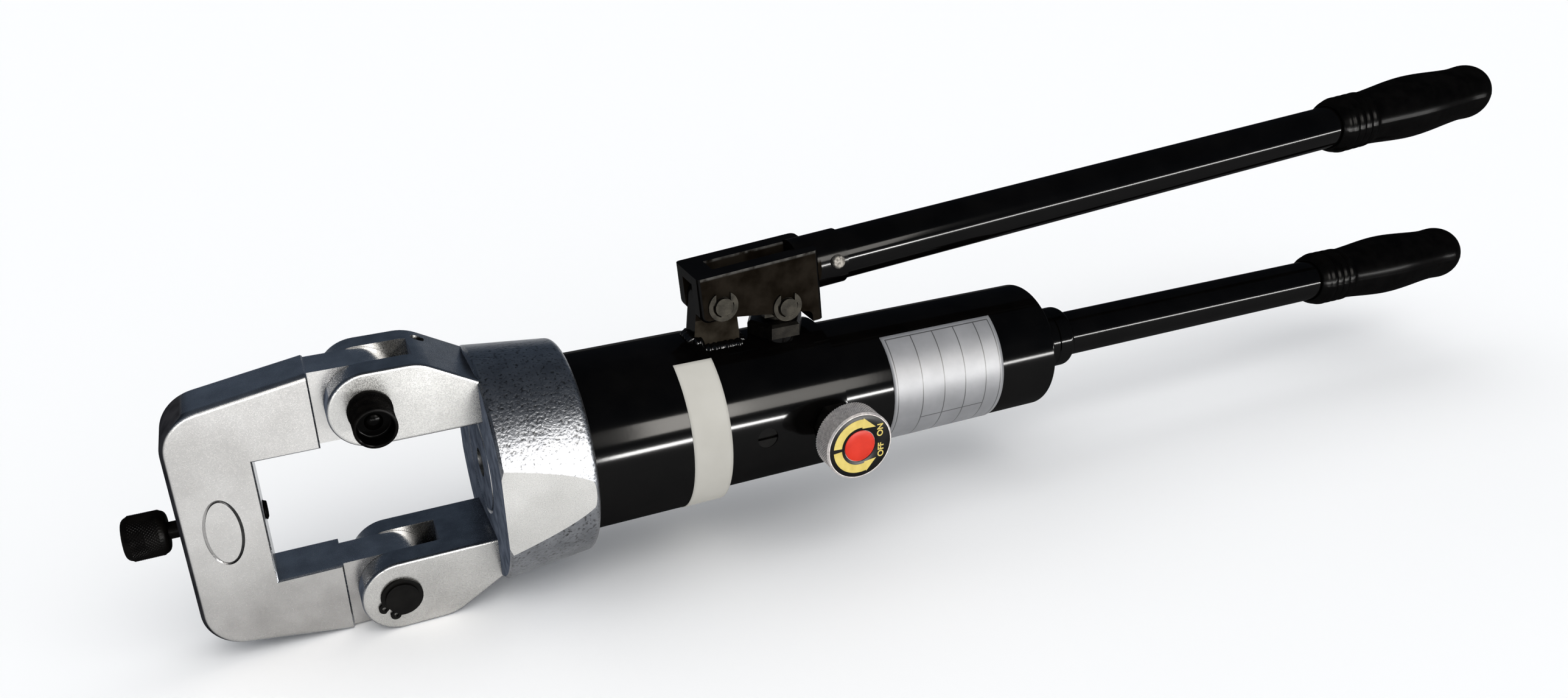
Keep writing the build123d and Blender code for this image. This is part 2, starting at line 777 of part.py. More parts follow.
# Release spindle, pressing on its ball
knob_back = pump_radius + release_knob_standoff
knob_face = knob_back + release_knob_length
with BuildPart() as release_spindle:
    with BuildSketch(release_plane.offset(seat_clearance - ball_back_y)):
        Circle(release_stem_radius)
    extrude(amount=ball_back_y - release_shank_y - seat_clearance)
    with BuildSketch(release_plane.offset(-release_shank_y)):
        Circle(release_neck_diameter / 2)
    extrude(amount=knob_back + release_screw_depth + release_shank_y)

# Gland of the release spindle, a hexagon with a short shank
with BuildPart() as release_gland:
    with BuildSketch(release_plane.offset(-release_face_y)):
        RegularPolygon(release_gland_flats / 2, 6, major_radius=False)
    extrude(amount=release_gland_height)
    with BuildSketch(release_plane.offset(-release_face_y)):
        Circle(release_shank_radius)
    extrude(amount=seat_clearance - release_gland_shank)
    with BuildSketch(release_plane.offset(-release_shank_y)):
        Circle(release_neck_diameter / 2 + running_clearance)
    extrude(amount=knob_face, mode=Mode.SUBTRACT)

# Release knob with a shallow round recess for its centre disc
with BuildPart() as release_knob:
    with BuildSketch(release_plane.offset(knob_back)):
        Circle(release_knob_diameter / 2)
    extrude(amount=release_knob_length)
    chamfer(release_knob.edges(), release_knob_edge)
    with BuildSketch(release_plane.offset(knob_back)):
        Circle(release_neck_diameter / 2 + seat_clearance)
    extrude(amount=release_screw_depth + seat_clearance, mode=Mode.SUBTRACT)
    drill(release_plane.offset(knob_face), release_disc_diameter / 2, release_disc_depth)

# Check valves
valve_lift = sqrt(valve_ball_radius**2 - passage_radius**2)
delivery_ball_x = delivery_seat_x - valve_lift
suction_ball_x = suction_seat_x - valve_lift
delivery_ball = ball((delivery_ball_x, 0, valve_z), valve_ball_radius)
suction_ball = ball((suction_ball_x, 0, valve_z), valve_ball_radius)
valve_spring_radius = (valve_spring_diameter - valve_spring_wire) / 2
valve_cup = sqrt(valve_ball_radius**2 - (valve_spring_diameter / 2) ** 2)
delivery_spring = coil_spring(
    valve_plane.offset(spigot_x + valve_insert + valve_spring_gap),
    valve_spring_radius,
    valve_spring_wire,
    delivery_ball_x - valve_cup - spigot_x - valve_insert - valve_spring_wire,
    valve_spring_turns,
)
suction_spring = coil_spring(
    valve_plane.offset(suction_chamber_x + valve_spring_gap),
    valve_spring_radius,
    valve_spring_wire,
    suction_ball_x - valve_cup - suction_chamber_x - valve_spring_wire,
    valve_spring_turns,
)
with BuildPart() as delivery_retainer:
    with BuildSketch(valve_plane.offset(spigot_x)):
        Circle(valve_bore_radius - seat_clearance)
        Circle(passage_radius, mode=Mode.SUBTRACT)
    extrude(amount=valve_insert)
with BuildPart() as suction_seat:
    with BuildSketch(valve_plane.offset(suction_seat_x)):
        Circle(valve_bore_radius - seat_clearance)
        Circle(passage_radius, mode=Mode.SUBTRACT)
    extrude(amount=valve_insert)
with BuildPart() as suction_strainer:
    with BuildSketch(valve_plane.offset(neck_x)):
        Circle(strainer_diameter / 2)
    extrude(amount=strainer_length)
    fillet(suction_strainer.edges().group_by(Axis.X)[-1], strainer_diameter / 4)
    with BuildSketch(valve_plane.offset(neck_x)):
        Circle(strainer_diameter / 2 - strainer_wall)
    extrude(amount=strainer_length - 2 * strainer_wall, mode=Mode.SUBTRACT)

# Plunger with its slotted eye: the slot takes up the sideways swing of the pin
pin_inward = plunger_reach - link_length * cos(raised_angle)
pin_outward = link_length - plunger_reach
slot_half_height = link_pin_radius + plunger_eye_play
slot_center_x = plunger_x + (pin_outward - pin_inward) / 2
slot_length = pin_inward + pin_outward + 2 * slot_half_height + 2 * plunger_eye_play
eye_half_thickness = bracket_half_slot - slot_clearance
flat_z = plunger_pin_z - plunger_flat_drop
with BuildPart() as plunger:
    with BuildSketch(plunger_plane.offset(plunger_tip_z)):
        Circle(plunger_radius)
    extrude(amount=flat_z - plunger_tip_z)
    with BuildSketch(Plane.XZ):
        with Locations((plunger_x, plunger_pin_z)):
            Circle(plunger_eye_radius)
            Rectangle(2 * plunger_eye_radius, plunger_flat_drop, align=(Align.CENTER, Align.MAX))
    extrude(amount=eye_half_thickness, both=True)
    with BuildSketch(Plane.XZ):
        with Locations((slot_center_x, plunger_pin_z)):
            SlotOverall(slot_length, 2 * slot_half_height)
    extrude(amount=plunger_diameter, both=True, mode=Mode.SUBTRACT)

# Gland nut with its shank, and the packing under it
with BuildPart() as gland_nut:
    with BuildSketch(plunger_plane.offset(gland_seat_z)):
        RegularPolygon(gland_nut_flats / 2, 6, major_radius=False)
    extrude(amount=gland_nut_height)
    with BuildSketch(plunger_plane.offset(gland_seat_z)):
        Circle(corner_radius(gland_nut_flats))
    extrude(amount=gland_nut_height, mode=Mode.INTERSECT)
    chamfer(gland_nut.faces().sort_by(Axis.Z)[-1].edges(), gland_nut_chamfer)
    with BuildSketch(plunger_plane.offset(gland_seat_z)):
        Circle(packing_radius)
    extrude(amount=-gland_shank)
    drill(plunger_plane.offset(gland_top_z), plunger_radius + running_clearance,
          gland_nut_height + gland_shank)
with BuildPart() as plunger_packing:
    with BuildSketch(plunger_plane.offset(packing_bottom_z)):
        Circle(packing_radius)
        Circle(plunger_radius + running_clearance, mode=Mode.SUBTRACT)
    extrude(amount=packing_height)

# Lug on top of the cylinder and pump body, cut to their curves
with BuildPart() as lever_lug:
    with BuildSketch(Plane.XZ):
        with Locations((pivot_x, pivot_height)):
            Circle(lug_eye_radius)
            Rectangle(2 * lug_eye_radius, pivot_height, align=(Align.CENTER, Align.MAX))
        with BuildLine():
            Polyline(
                (pivot_x - lug_half_length, 0),
                (pivot_x + lug_half_length, 0),
                (pivot_x + lug_half_length, cylinder_radius),
                (pivot_x + lug_eye_radius, pivot_height - lug_eye_radius / 2),
                (pivot_x - lug_eye_radius, pivot_height - lug_eye_radius / 2),
                (pivot_x - lug_half_length, cylinder_radius),
                close=True,
            )
        make_face()
    extrude(amount=eye_half_thickness, both=True)
    drill(Plane.YZ.offset(cylinder_end_x), cylinder_radius, cylinder_end_x)
    drill(Plane.YZ.offset(cylinder_end_x), pump_radius, -pump_length)
    with BuildSketch(Plane.XZ):
        with Locations((pivot_x, pivot_height)):
            Circle(link_pin_radius + running_clearance)
    extrude(amount=bracket_width, both=True, mode=Mode.SUBTRACT)

# Lever bracket: two side plates joined by a bridge in front and a block behind, with the lever's socket
bridge_v = lug_eye_radius + bracket_bridge_gap
socket_radius = handle_radius + seat_clearance + socket_wall
rivet_u = socket_end - rivet_setback
rivet_tilt = radians(rivet_turn)
rivet_direction = tube_plane.z_dir * cos(rivet_tilt) + tube_plane.y_dir * sin(rivet_tilt)
rivet_plane = Plane(tube_plane.from_local_coords((rivet_u, 0, 0)), lever_direction, rivet_direction)
with BuildPart() as lever_bracket:
    with BuildSketch(lever_plane) as plate:
        with BuildLine():
            Polyline(
                (-bracket_front, bracket_top),
                (bracket_rear, bracket_top),
                (bracket_rear, -stop_drop),
                (bracket_rear - stop_width, -stop_drop),
                (bracket_rear - stop_width, -bracket_shoulder),
                (bracket_heel_length, -bracket_heel),
                (-bracket_front, -bracket_heel),
                close=True,
            )
        make_face()
        fillet(plate.vertices().group_by(Axis.Y)[1].sort_by(Axis.X)[-1], stop_arch_radius)
        fillet(plate.vertices().group_by(Axis.X)[0].sort_by(Axis.Y)[0], bracket_heel_radius)
        with Locations((plunger_pin_u, plunger_pin_v)):
            Circle(bracket_boss_radius)
    extrude(amount=bracket_half_width, both=True)
    upright_edges = lever_bracket.edges().filter_by(Axis(lever_plane.origin, lever_plane.y_dir))
    fillet(upright_edges.sort_by(Axis(lever_plane.origin, lever_direction))[-2:], bracket_rear_radius)
    upright_edges = lever_bracket.edges().filter_by(Axis(lever_plane.origin, lever_plane.y_dir))
    fillet(upright_edges.sort_by(Axis(lever_plane.origin, lever_direction))[:2], bracket_front_radius)
    with BuildSketch(tube_section.offset(bracket_slot_end)):
        Circle(socket_radius)
    extrude(amount=socket_end - bracket_slot_end)
    drill(tube_section.offset(socket_end), handle_radius + seat_clearance, socket_end - lever_start)
    with BuildSketch(lever_plane):
        with Locations((0, 0)):
            Rectangle(bracket_slot_end, 4 * bracket_top, align=(Align.MIN, Align.CENTER))
            Rectangle(2 * bracket_front, bridge_v, align=(Align.MAX, Align.MIN))
            Rectangle(2 * bracket_front, 2 * bracket_top, align=(Align.MAX, Align.MAX))
    extrude(amount=bracket_half_slot, both=True, mode=Mode.SUBTRACT)
    with BuildSketch(lever_plane):
        with Locations((0, 0), (plunger_pin_u, plunger_pin_v)):
            Circle(link_pin_radius + seat_clearance)
    extrude(amount=bracket_width, both=True, mode=Mode.SUBTRACT)
    with BuildSketch(rivet_plane):
        Circle(rivet_diameter / 2 + seat_clearance)
    extrude(amount=bracket_width, both=True, mode=Mode.SUBTRACT)

# Pins of the bracket, grooved for their clips
clip_groove_radius = link_pin_radius - clip_groove_depth


def link_pin(plane):
    with BuildPart() as pin:
        with BuildSketch(plane):
            Circle(link_pin_radius)
        extrude(amount=bracket_half_width + pin_overhang, both=True)
        for side in (1, -1):
            with BuildSketch(plane.offset(side * bracket_half_width)):
                Circle(2 * link_pin_radius)
                Circle(clip_groove_radius, mode=Mode.SUBTRACT)
            extrude(amount=side * (clip_thickness + 2 * clip_side_gap), mode=Mode.SUBTRACT)
    return pin


pivot_plane = Plane.XZ.shift_origin((pivot_x, 0, pivot_height))
plunger_pin_plane = Plane.XZ.shift_origin((plunger_x, 0, plunger_pin_z))
pivot_pin = link_pin(pivot_plane)
plunger_pin = link_pin(plunger_pin_plane)

# E-clips: an open ring with three teeth that stand in the pin's groove
with BuildPart() as pin_clips:
    for plane in (pivot_plane, plunger_pin_plane):
        for side in (1, -1):
            with BuildSketch(plane.offset(side * (bracket_half_width + clip_side_gap))):
                Circle(clip_outer_radius)
                Circle(clip_outer_radius - clip_ring, mode=Mode.SUBTRACT)
                with PolarLocations(0, 3, start_angle=clip_tooth_angle):
                    Rectangle(clip_outer_radius - clip_ring / 2, clip_tooth_width,
                              align=(Align.MIN, Align.CENTER))
                Circle(clip_groove_radius + seat_clearance, mode=Mode.SUBTRACT)
                Rectangle(clip_mouth, 2 * clip_outer_radius, align=(Align.CENTER, Align.MIN),
                          mode=Mode.SUBTRACT)
            extrude(amount=side * clip_thickness)

# Lever tube, its rivet and its grip
lever_tube_end = lever_grip_start + grip_tube_end - seat_clearance
with BuildPart() as lever_tube:
    with BuildSketch(tube_section.offset(lever_start + seat_clearance)):
        Circle(handle_radius)
        Circle(handle_radius - handle_wall, mode=Mode.SUBTRACT)
    extrude(amount=lever_tube_end - lever_start - seat_clearance)
    with BuildSketch(rivet_plane):
        Circle(rivet_diameter / 2 + seat_clearance)
    extrude(amount=handle_diameter, both=True, mode=Mode.SUBTRACT)
with BuildPart() as lever_rivet:
    with BuildSketch(rivet_plane):
        Circle(rivet_diameter / 2)
    extrude(amount=socket_radius, both=True)
    for side in (1, -1):
        with BuildSketch(rivet_plane.offset(side * socket_radius)):
            Circle(rivet_head_diameter / 2)
        extrude(amount=side * rivet_head_height)
    rivet_axis = Axis(rivet_plane.origin, rivet_direction)
    for end in (0, -1):
        fillet(lever_rivet.edges().group_by(rivet_axis)[end], rivet_head_height / 2)
lever_grip = hand_grip(tube_plane.shift_origin(tube_plane.from_local_coords((lever_grip_start, 0, 0))))

# Reservoir tube, its end piece with the handle's neck, and the oil bag inside
with BuildPart() as reservoir_tube:
    with BuildSketch(Plane.YZ.offset(pump_end_x)):
        Circle(reservoir_radius)
        Circle(reservoir_bore_radius, mode=Mode.SUBTRACT)
    extrude(amount=reservoir_length)
    reservoir_rim = reservoir_tube.edges().group_by(Axis.X)[-1]
    fillet(reservoir_rim.sort_by(SortBy.RADIUS)[-1], reservoir_end_radius)
handle_socket_x = cap_neck_x - handle_socket_depth
with BuildPart() as reservoir_cap:
    with BuildSketch(Plane.XZ):
        with BuildLine():
            Polyline(
                (cap_plug_x, 0),
                (cap_plug_x, rear_spigot_radius),
                (cap_seal_x, rear_spigot_radius),
                (cap_seal_x, rear_seal_inner),
                (cap_seal_x + static_seal_width, rear_seal_inner),
                (cap_seal_x + static_seal_width, rear_spigot_radius),
                (reservoir_end_x, rear_spigot_radius),
                (reservoir_end_x, cap_neck_diameter / 2),
                (cap_neck_x, cap_neck_diameter / 2),
                (cap_neck_x, handle_radius + seat_clearance),
                (handle_socket_x, handle_radius + seat_clearance),
                (handle_socket_x, 0),
                close=True,
            )
        make_face()
    revolve(axis=Axis.X)
bladder_radius = reservoir_bore_radius - bladder_gap
bladder_end_x = cap_plug_x - bladder_end_gap
with BuildPart() as oil_bladder:
    with BuildSketch(Plane.YZ.offset(rear_spigot_x)):
        Circle(bladder_radius)
    extrude(amount=bladder_end_x - rear_spigot_x)
    fillet(oil_bladder.edges().group_by(Axis.X)[-1], bladder_end_radius)
    offset(amount=-bladder_wall, openings=oil_bladder.faces().sort_by(Axis.X)[0])
    with BuildSketch(Plane.YZ.offset(rear_spigot_x)):
        Circle(bladder_radius)
        Circle(neck_radius + seat_clearance, mode=Mode.SUBTRACT)
    extrude(amount=neck_length)

# Sealing rings between cylinder, pump body, reservoir and cap
front_ring = ring(static_seal_x, static_seal_x + static_seal_width, static_seal_inner, spigot_radius)
rear_ring = ring(rear_seal_x, rear_seal_x + static_seal_width, rear_seal_inner, rear_spigot_radius)
cap_ring = ring(cap_seal_x, cap_seal_x + static_seal_width, rear_seal_inner, rear_spigot_radius)
with BuildPart() as static_seals:
    add(front_ring.part)
    add(rear_ring.part)
    add(cap_ring.part)

# Lower handle: a round nut on the neck, the tube and its grip
handle_tube_end = handle_grip_x + grip_tube_end - seat_clearance
with BuildPart() as handle_nut:
    with BuildSketch(Plane.YZ.offset(cap_neck_x)):
        Circle(cap_neck_diameter / 2)
        Circle(handle_radius + seat_clearance, mode=Mode.SUBTRACT)
    extrude(amount=handle_nut_length)
    nut_edges = handle_nut.edges().filter_by(GeomType.CIRCLE)
    chamfer(nut_edges.group_by(Axis.X)[0].sort_by(SortBy.RADIUS)[-1], handle_nut_groove)
    nut_edges = handle_nut.edges().filter_by(GeomType.CIRCLE)
    fillet(nut_edges.group_by(Axis.X)[-1].sort_by(SortBy.RADIUS)[-1], handle_nut_radius)
handle_tube = ring(
    handle_socket_x + seat_clearance, handle_tube_end, handle_radius - handle_wall, handle_radius
)
handle_grip = hand_grip(Plane.XZ.shift_origin((handle_grip_x, 0, 0)))

pieces = {
    "yoke": yoke,
    "clevis_collar": clevis_collar,
    "hinge_pin": hinge_pin,
    "hinge_circlips": hinge_circlips,
    "latch_pin": latch_pin,
    "latch_knob": latch_knob,
    "arm_set_screw": arm_set_screw,
    "die_screw": die_screw,
    "front_cylinder": front_cylinder,
    "ram": ram,
    "ram_seal": ram_seal,
    "ram_wiper": ram_wiper,
    "return_spring": return_spring,
    "pump_body": pump_body,
    "relief_plug": relief_plug,
    "relief_ball": relief_ball,
    "relief_spring": relief_spring,
    "release_ball": release_ball,
    "release_spindle": release_spindle,
    "release_gland": release_gland,
    "release_knob": release_knob,
    "delivery_ball": delivery_ball,
    "delivery_spring": delivery_spring,
    "delivery_retainer": delivery_retainer,
    "suction_ball": suction_ball,
    "suction_spring": suction_spring,
    "suction_seat": suction_seat,
    "suction_strainer": suction_strainer,
    "plunger": plunger,
    "gland_nut": gland_nut,
    "plunger_packing": plunger_packing,
    "lever_lug": lever_lug,
    "lever_bracket": lever_bracket,
    "pivot_pin": pivot_pin,
    "plunger_pin": plunger_pin,
    "pin_clips": pin_clips,
    "lever_tube": lever_tube,
    "lever_rivet": lever_rivet,
    "lever_grip": lever_grip,
    "reservoir_tube": reservoir_tube,
    "reservoir_cap": reservoir_cap,
    "oil_bladder": oil_bladder,
    "static_seals": static_seals,
    "handle_nut": handle_nut,
    "handle_tube": handle_tube,
    "handle_grip": handle_grip,
}
os.makedirs("parts", exist_ok=True)
for name, piece in pieces.items():
    piece.part.label = name
    export_step(piece.part, f"parts/{name}.step")
print(f"{len(pieces)} pieces, pump stroke {pump_stroke:.2f} mm, link at {link_angle:.2f} degrees")
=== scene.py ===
# %% [markdown]
# # A hydraulic swaging tool, dressed for the studio
# The tool squeezes sleeves onto wire rope: a yoke closes a window, a ram pushes a die into it, and a small
# pump drives the ram. All hard pieces come from a CAD model at real size. This lesson gives them their
# finishes, builds the pieces that need mesh work (knurled knobs, rubber grips, a soft bag, springs,
# sheets, weld beads), and sets up the studio. The CAD objects stay where they are: everything new is
# placed from their measured boxes.

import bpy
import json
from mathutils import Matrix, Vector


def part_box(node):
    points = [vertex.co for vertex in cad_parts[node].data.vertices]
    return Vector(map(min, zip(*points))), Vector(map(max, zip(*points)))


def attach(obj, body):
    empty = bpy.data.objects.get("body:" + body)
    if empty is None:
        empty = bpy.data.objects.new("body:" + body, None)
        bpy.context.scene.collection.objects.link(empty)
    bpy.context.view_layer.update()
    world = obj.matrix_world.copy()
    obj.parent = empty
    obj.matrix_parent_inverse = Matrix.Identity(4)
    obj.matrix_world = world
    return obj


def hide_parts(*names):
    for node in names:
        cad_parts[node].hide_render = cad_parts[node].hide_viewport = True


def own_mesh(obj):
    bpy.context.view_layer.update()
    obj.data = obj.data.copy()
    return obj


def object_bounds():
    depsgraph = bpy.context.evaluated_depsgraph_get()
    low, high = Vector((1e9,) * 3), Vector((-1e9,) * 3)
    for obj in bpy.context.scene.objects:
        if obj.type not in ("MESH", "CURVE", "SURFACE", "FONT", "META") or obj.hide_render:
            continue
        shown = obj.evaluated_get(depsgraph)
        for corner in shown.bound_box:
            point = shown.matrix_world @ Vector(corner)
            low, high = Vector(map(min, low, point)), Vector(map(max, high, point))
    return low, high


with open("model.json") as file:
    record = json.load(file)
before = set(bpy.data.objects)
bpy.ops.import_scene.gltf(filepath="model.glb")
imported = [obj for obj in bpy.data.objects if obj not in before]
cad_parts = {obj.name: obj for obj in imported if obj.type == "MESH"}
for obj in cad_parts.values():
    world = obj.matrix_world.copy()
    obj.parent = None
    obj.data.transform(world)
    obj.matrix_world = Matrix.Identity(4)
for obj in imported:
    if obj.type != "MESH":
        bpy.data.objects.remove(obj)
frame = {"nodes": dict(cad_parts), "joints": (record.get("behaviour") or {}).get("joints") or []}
first_low, first_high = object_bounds()
print("pieces in the CAD model:", len(frame["nodes"]))
print("size in mm:", [round(1000 * side, 1) for side in first_high - first_low])

# %% [markdown]
# ## The camera
# The picture was taken from the front, a little above the tool and close to its head, so the yoke looks
# large and the handles shrink towards the right. The place, the direction and the lens were fitted to
# points that can be named both in the picture and in the CAD model. A camera is a box of three directions:
# right, up and backwards. Written as the columns of a matrix, they turn it exactly, with no guessing of
# angles.

# %% Place the camera
import bpy
from mathutils import Matrix, Vector

MM = 0.001
picture_width = 2576
focal_length_px = 1918.369
sensor_width = 36.0
camera_place = Vector((-64.875, -435.193, 241.351)) * MM
to_right = Vector((0.9038, -0.4280, -0.0080))
upwards = Vector((0.1834, 0.3702, 0.9107))
backwards = Vector((-0.3868, -0.8245, 0.4130))

scene = bpy.context.scene
camera = bpy.data.objects.new("camera", bpy.data.cameras.new("camera"))
scene.collection.objects.link(camera)
scene.camera = camera
turn = Matrix((to_right, upwards, backwards)).transposed().to_4x4()
camera.matrix_world = Matrix.Translation(camera_place) @ turn
camera.data.sensor_fit = "HORIZONTAL"
camera.data.sensor_width = sensor_width
camera.data.lens = focal_length_px * sensor_width / picture_width
camera.data.clip_start = 10 * MM
scene.view_settings.view_transform = "Standard"
print("lens in mm:", round(camera.data.lens, 2))

# %% [markdown]
# ## Floor and room
# The tool lies in front of plain white, so the floor is white and matt, and lies just under the lowest
# point of the tool. Shiny things are drawn by what they mirror. Upright faces mirror the white floor just
# in front of them and turn pale, faces that look up mirror the room behind the tool and turn dark
# blue-grey, so the room is dark.

# %% Make the floor
import bmesh


def mesh_object(name, builder):
    mesh = bpy.data.meshes.new(name)
    builder.to_mesh(mesh)
    builder.free()
    made = bpy.data.objects.new(name, mesh)
    scene.collection.objects.link(made)
    return made


floor_reach, floor_cells, floor_gap = 12.0, 8, 0.1 * MM
floor_height = first_low.z - floor_gap
builder = bmesh.new()
bmesh.ops.create_grid(builder, x_segments=floor_cells, y_segments=floor_cells, size=floor_reach)
floor = mesh_object("floor", builder)
floor.location.z = floor_height
print("floor at z mm:", round(floor_height / MM, 2))

# %% Give the floor a white matt paint
# A noise seldom leaves this span, so it is stretched from here
usual_low, usual_high = 0.3, 0.7


def new_material(name):
    material = bpy.data.materials.new(name)
    material.use_nodes = True
    return material


def sockets_of(tree):
    return tree.nodes["Principled BSDF"].inputs


def noise(tree, scale, detail=3.0):
    place = tree.nodes.new("ShaderNodeTexCoord")
    texture = tree.nodes.new("ShaderNodeTexNoise")
    texture.inputs["Scale"].default_value = scale
    texture.inputs["Detail"].default_value = detail
    tree.links.new(place.outputs["Object"], texture.inputs["Vector"])
    return texture.outputs["Fac"]


def spread(tree, value, low, high):
    ranged = tree.nodes.new("ShaderNodeMapRange")
    ranged.inputs["From Min"].default_value = usual_low
    ranged.inputs["From Max"].default_value = usual_high
    ranged.inputs["To Min"].default_value = low
    ranged.inputs["To Max"].default_value = high
    tree.links.new(value, ranged.inputs["Value"])
    return ranged.outputs["Result"]


floor_paint = new_material("white_floor")
tree, sockets = floor_paint.node_tree, sockets_of(floor_paint.node_tree)
sockets["Base Color"].default_value = (0.95, 0.95, 0.95, 1.0)
sockets["Specular IOR Level"].default_value = 0.0
tree.links.new(spread(tree, noise(tree, scale=6.0), low=0.85, high=0.95), sockets["Roughness"])
floor.data.materials.append(floor_paint)
print("floor paint:", floor_paint.name)

# %% Colour the room by height above the horizon
room_colours = (
    (0.00, (0.12, 0.14, 0.175)),
    (0.15, (0.13, 0.165, 0.22)),
    (0.60, (0.105, 0.135, 0.18)),
    (1.00, (0.09, 0.105, 0.13)),
)
room = bpy.data.worlds.new("studio_room")
scene.world = room
room.use_nodes = True
tree = room.node_tree
direction = tree.nodes.new("ShaderNodeTexCoord")
height = tree.nodes.new("ShaderNodeSeparateXYZ")
ramp = tree.nodes.new("ShaderNodeValToRGB")
while len(ramp.color_ramp.elements) < len(room_colours):
    ramp.color_ramp.elements.new(0.5)
for element, (level, colour) in zip(ramp.color_ramp.elements, room_colours):
    element.position = level
    element.color = (*colour, 1.0)
tree.links.new(direction.outputs["Generated"], height.inputs["Vector"])
tree.links.new(height.outputs["Z"], ramp.inputs["Fac"])
tree.links.new(ramp.outputs["Color"], tree.nodes["Background"].inputs["Color"])
print("room colours:", len(room_colours))

# %% [markdown]
# ## Lamps
# A row of narrow lamps at floor level draws the bright line along each black tube, and a row of taller
# boxes above it draws the broad line. Each tall box is three lamps of different height with one middle, so
# that the broad line fades out at its edges. Black paint mirrors far less than bare steel. So the lamps
# that the steel head mirrors are weak, those further right, in front of the tubes, are strong, and the
# reservoir has no tall box at all. The low row ends where the grips begin to fade into black.
#
# These lamps are there for the shine alone and leave the colours as they are. Two wide suns, one from
# above and one from the front, light colours and floor and keep the shadow soft. No tube shows them, so
# they are kept out of reflections.

# %% Hang the lamps for the shine
import math


def strip_lamp(name, left, right, tall, radiance, row):
    distance, height, aim_height, colour = row
    middle = Vector(((left + right) / 2, distance, height))
    aim = Vector((middle.x, 0.0, aim_height))
    data = bpy.data.lights.new(name, "AREA")
    data.shape = "RECTANGLE"
    data.size = right - left
    data.size_y = tall
    data.energy = radiance * math.pi * (right - left) * tall
    data.color = colour
    lamp = bpy.data.objects.new(name, data)
    scene.collection.objects.link(lamp)
    lamp.location = middle
    lamp.rotation_euler = (aim - middle).to_track_quat("-Z", "Y").to_euler()
    lamp.visible_diffuse = False


# Each row: distance, height, height aimed at, colour
low_row, low_tall = (-1.0, -0.020, -0.020, (1.0, 0.99, 0.97)), 0.066
# Each lamp: what it draws on, left end, right end, radiance
low_strips = (
    ("yoke", -0.35, 0.12, 32.0),
    ("collar", 0.12, 0.27, 6.0),
    ("cylinder", 0.27, 0.75, 160.0),
    ("handles", 0.75, 1.88, 96.0),
)
for name, left, right, radiance in low_strips:
    strip_lamp(f"low_strip_{name}", left, right, low_tall, radiance, low_row)
    print("low strip for the", name, "radiance", radiance)

# %% Hang the soft boxes
box_row, box_talls = (-1.8, 0.80, 0.0, (1.0, 0.96, 0.90)), (0.24, 0.44, 0.64)
soft_boxes = (
    ("yoke", -0.35, 0.25, 2.9),
    ("collar", 0.25, 0.52, 0.5),
    ("cylinder", 0.58, 0.82, 33.0),
    ("pump", 0.82, 1.15, 15.8),
)
for name, left, right, radiance in soft_boxes:
    for number, tall in enumerate(box_talls, start=1):
        strip_lamp(f"soft_box_{name}_{number}", left, right, tall, radiance, box_row)
    print("soft box for the", name, "radiance", round(radiance * len(box_talls), 1))

# %% Hang the lamps for the colours
sun_colour = (1.0, 0.985, 0.96)


def wide_sun(name, strength, spread_degrees, turn_degrees):
    lamp = bpy.data.objects.new(name, bpy.data.lights.new(name, "SUN"))
    lamp.data.energy = strength
    lamp.data.color = sun_colour
    lamp.data.angle = math.radians(spread_degrees)
    lamp.rotation_euler = [math.radians(turn) for turn in turn_degrees]
    lamp.visible_glossy = False
    scene.collection.objects.link(lamp)
    return lamp


suns = [
    wide_sun("overhead", strength=2.1, spread_degrees=110, turn_degrees=(-4, -6, 0)),
    wide_sun("front_fill", strength=1.7, spread_degrees=90, turn_degrees=(62, 0, 10)),
]
print("suns:", [lamp.name for lamp in suns])

# %% [markdown]
# ## Finishes for the CAD pieces
# No real surface is one flat colour. Every finish here is made the same way: a slow noise, the mottle,
# shifts the colour a little, a fast noise, the grain, shifts the roughness, and the same grain becomes a
# shallow bump. Only the numbers change from steel to paint. The coordinates are those of the CAD model, in
# metres, so a scale of 1000 means grains of about a millimetre on every piece, large or small.
#
# Black things get their shine from a thin clear coat and not from the base. The base's shine grows strong
# where a surface turns away from the eye, and would grey the edges of every tube. A dense coat laid on
# thinly grows little, so black stays black up to the outline.

# %% Helpers for most finishes
mottle_span, mottle_detail, grain_detail = (0.35, 0.65), 5.0, 4.0
dense_coat = 2.5


def mottled(tree, dark, light, mottle):
    colours = tree.nodes.new("ShaderNodeValToRGB")
    for element, position, colour in zip(colours.color_ramp.elements, mottle_span, (dark, light)):
        element.position = position
        element.color = (*colour, 1.0)
    tree.links.new(noise(tree, mottle, mottle_detail), colours.inputs["Fac"])
    return colours.outputs["Color"]


def finish(name, dark, light, rough, grain, depth, mottle, metal=0.0, specular=0.5, coat=0.0):
    material = new_material(name)
    tree, sockets = material.node_tree, sockets_of(material.node_tree)
    sockets["Metallic"].default_value = metal
    sockets["Specular IOR Level"].default_value = specular
    sockets["Coat Weight"].default_value = coat
    sockets["Coat IOR"].default_value = dense_coat
    sockets["Coat Roughness"].default_value = sum(rough) / 2
    tree.links.new(mottled(tree, dark, light, mottle), sockets["Base Color"])
    fine = noise(tree, grain, grain_detail)
    tree.links.new(spread(tree, fine, *rough), sockets["Roughness"])
    bump = tree.nodes.new("ShaderNodeBump")
    bump.inputs["Distance"].default_value = depth * MM
    tree.links.new(fine, bump.inputs["Height"])
    for layer in ("Normal", "Coat Normal"):
        tree.links.new(bump.outputs["Normal"], sockets[layer])
    return material


def black_finish(name, dark, light, coat, **recipe):
    return finish(name, dark, light, specular=0.0, coat=coat, **recipe)


def dress(material, *names):
    for name in names:
        for slot in frame["nodes"][name].material_slots:
            slot.material = material
    print(material.name, "on", ", ".join(names))


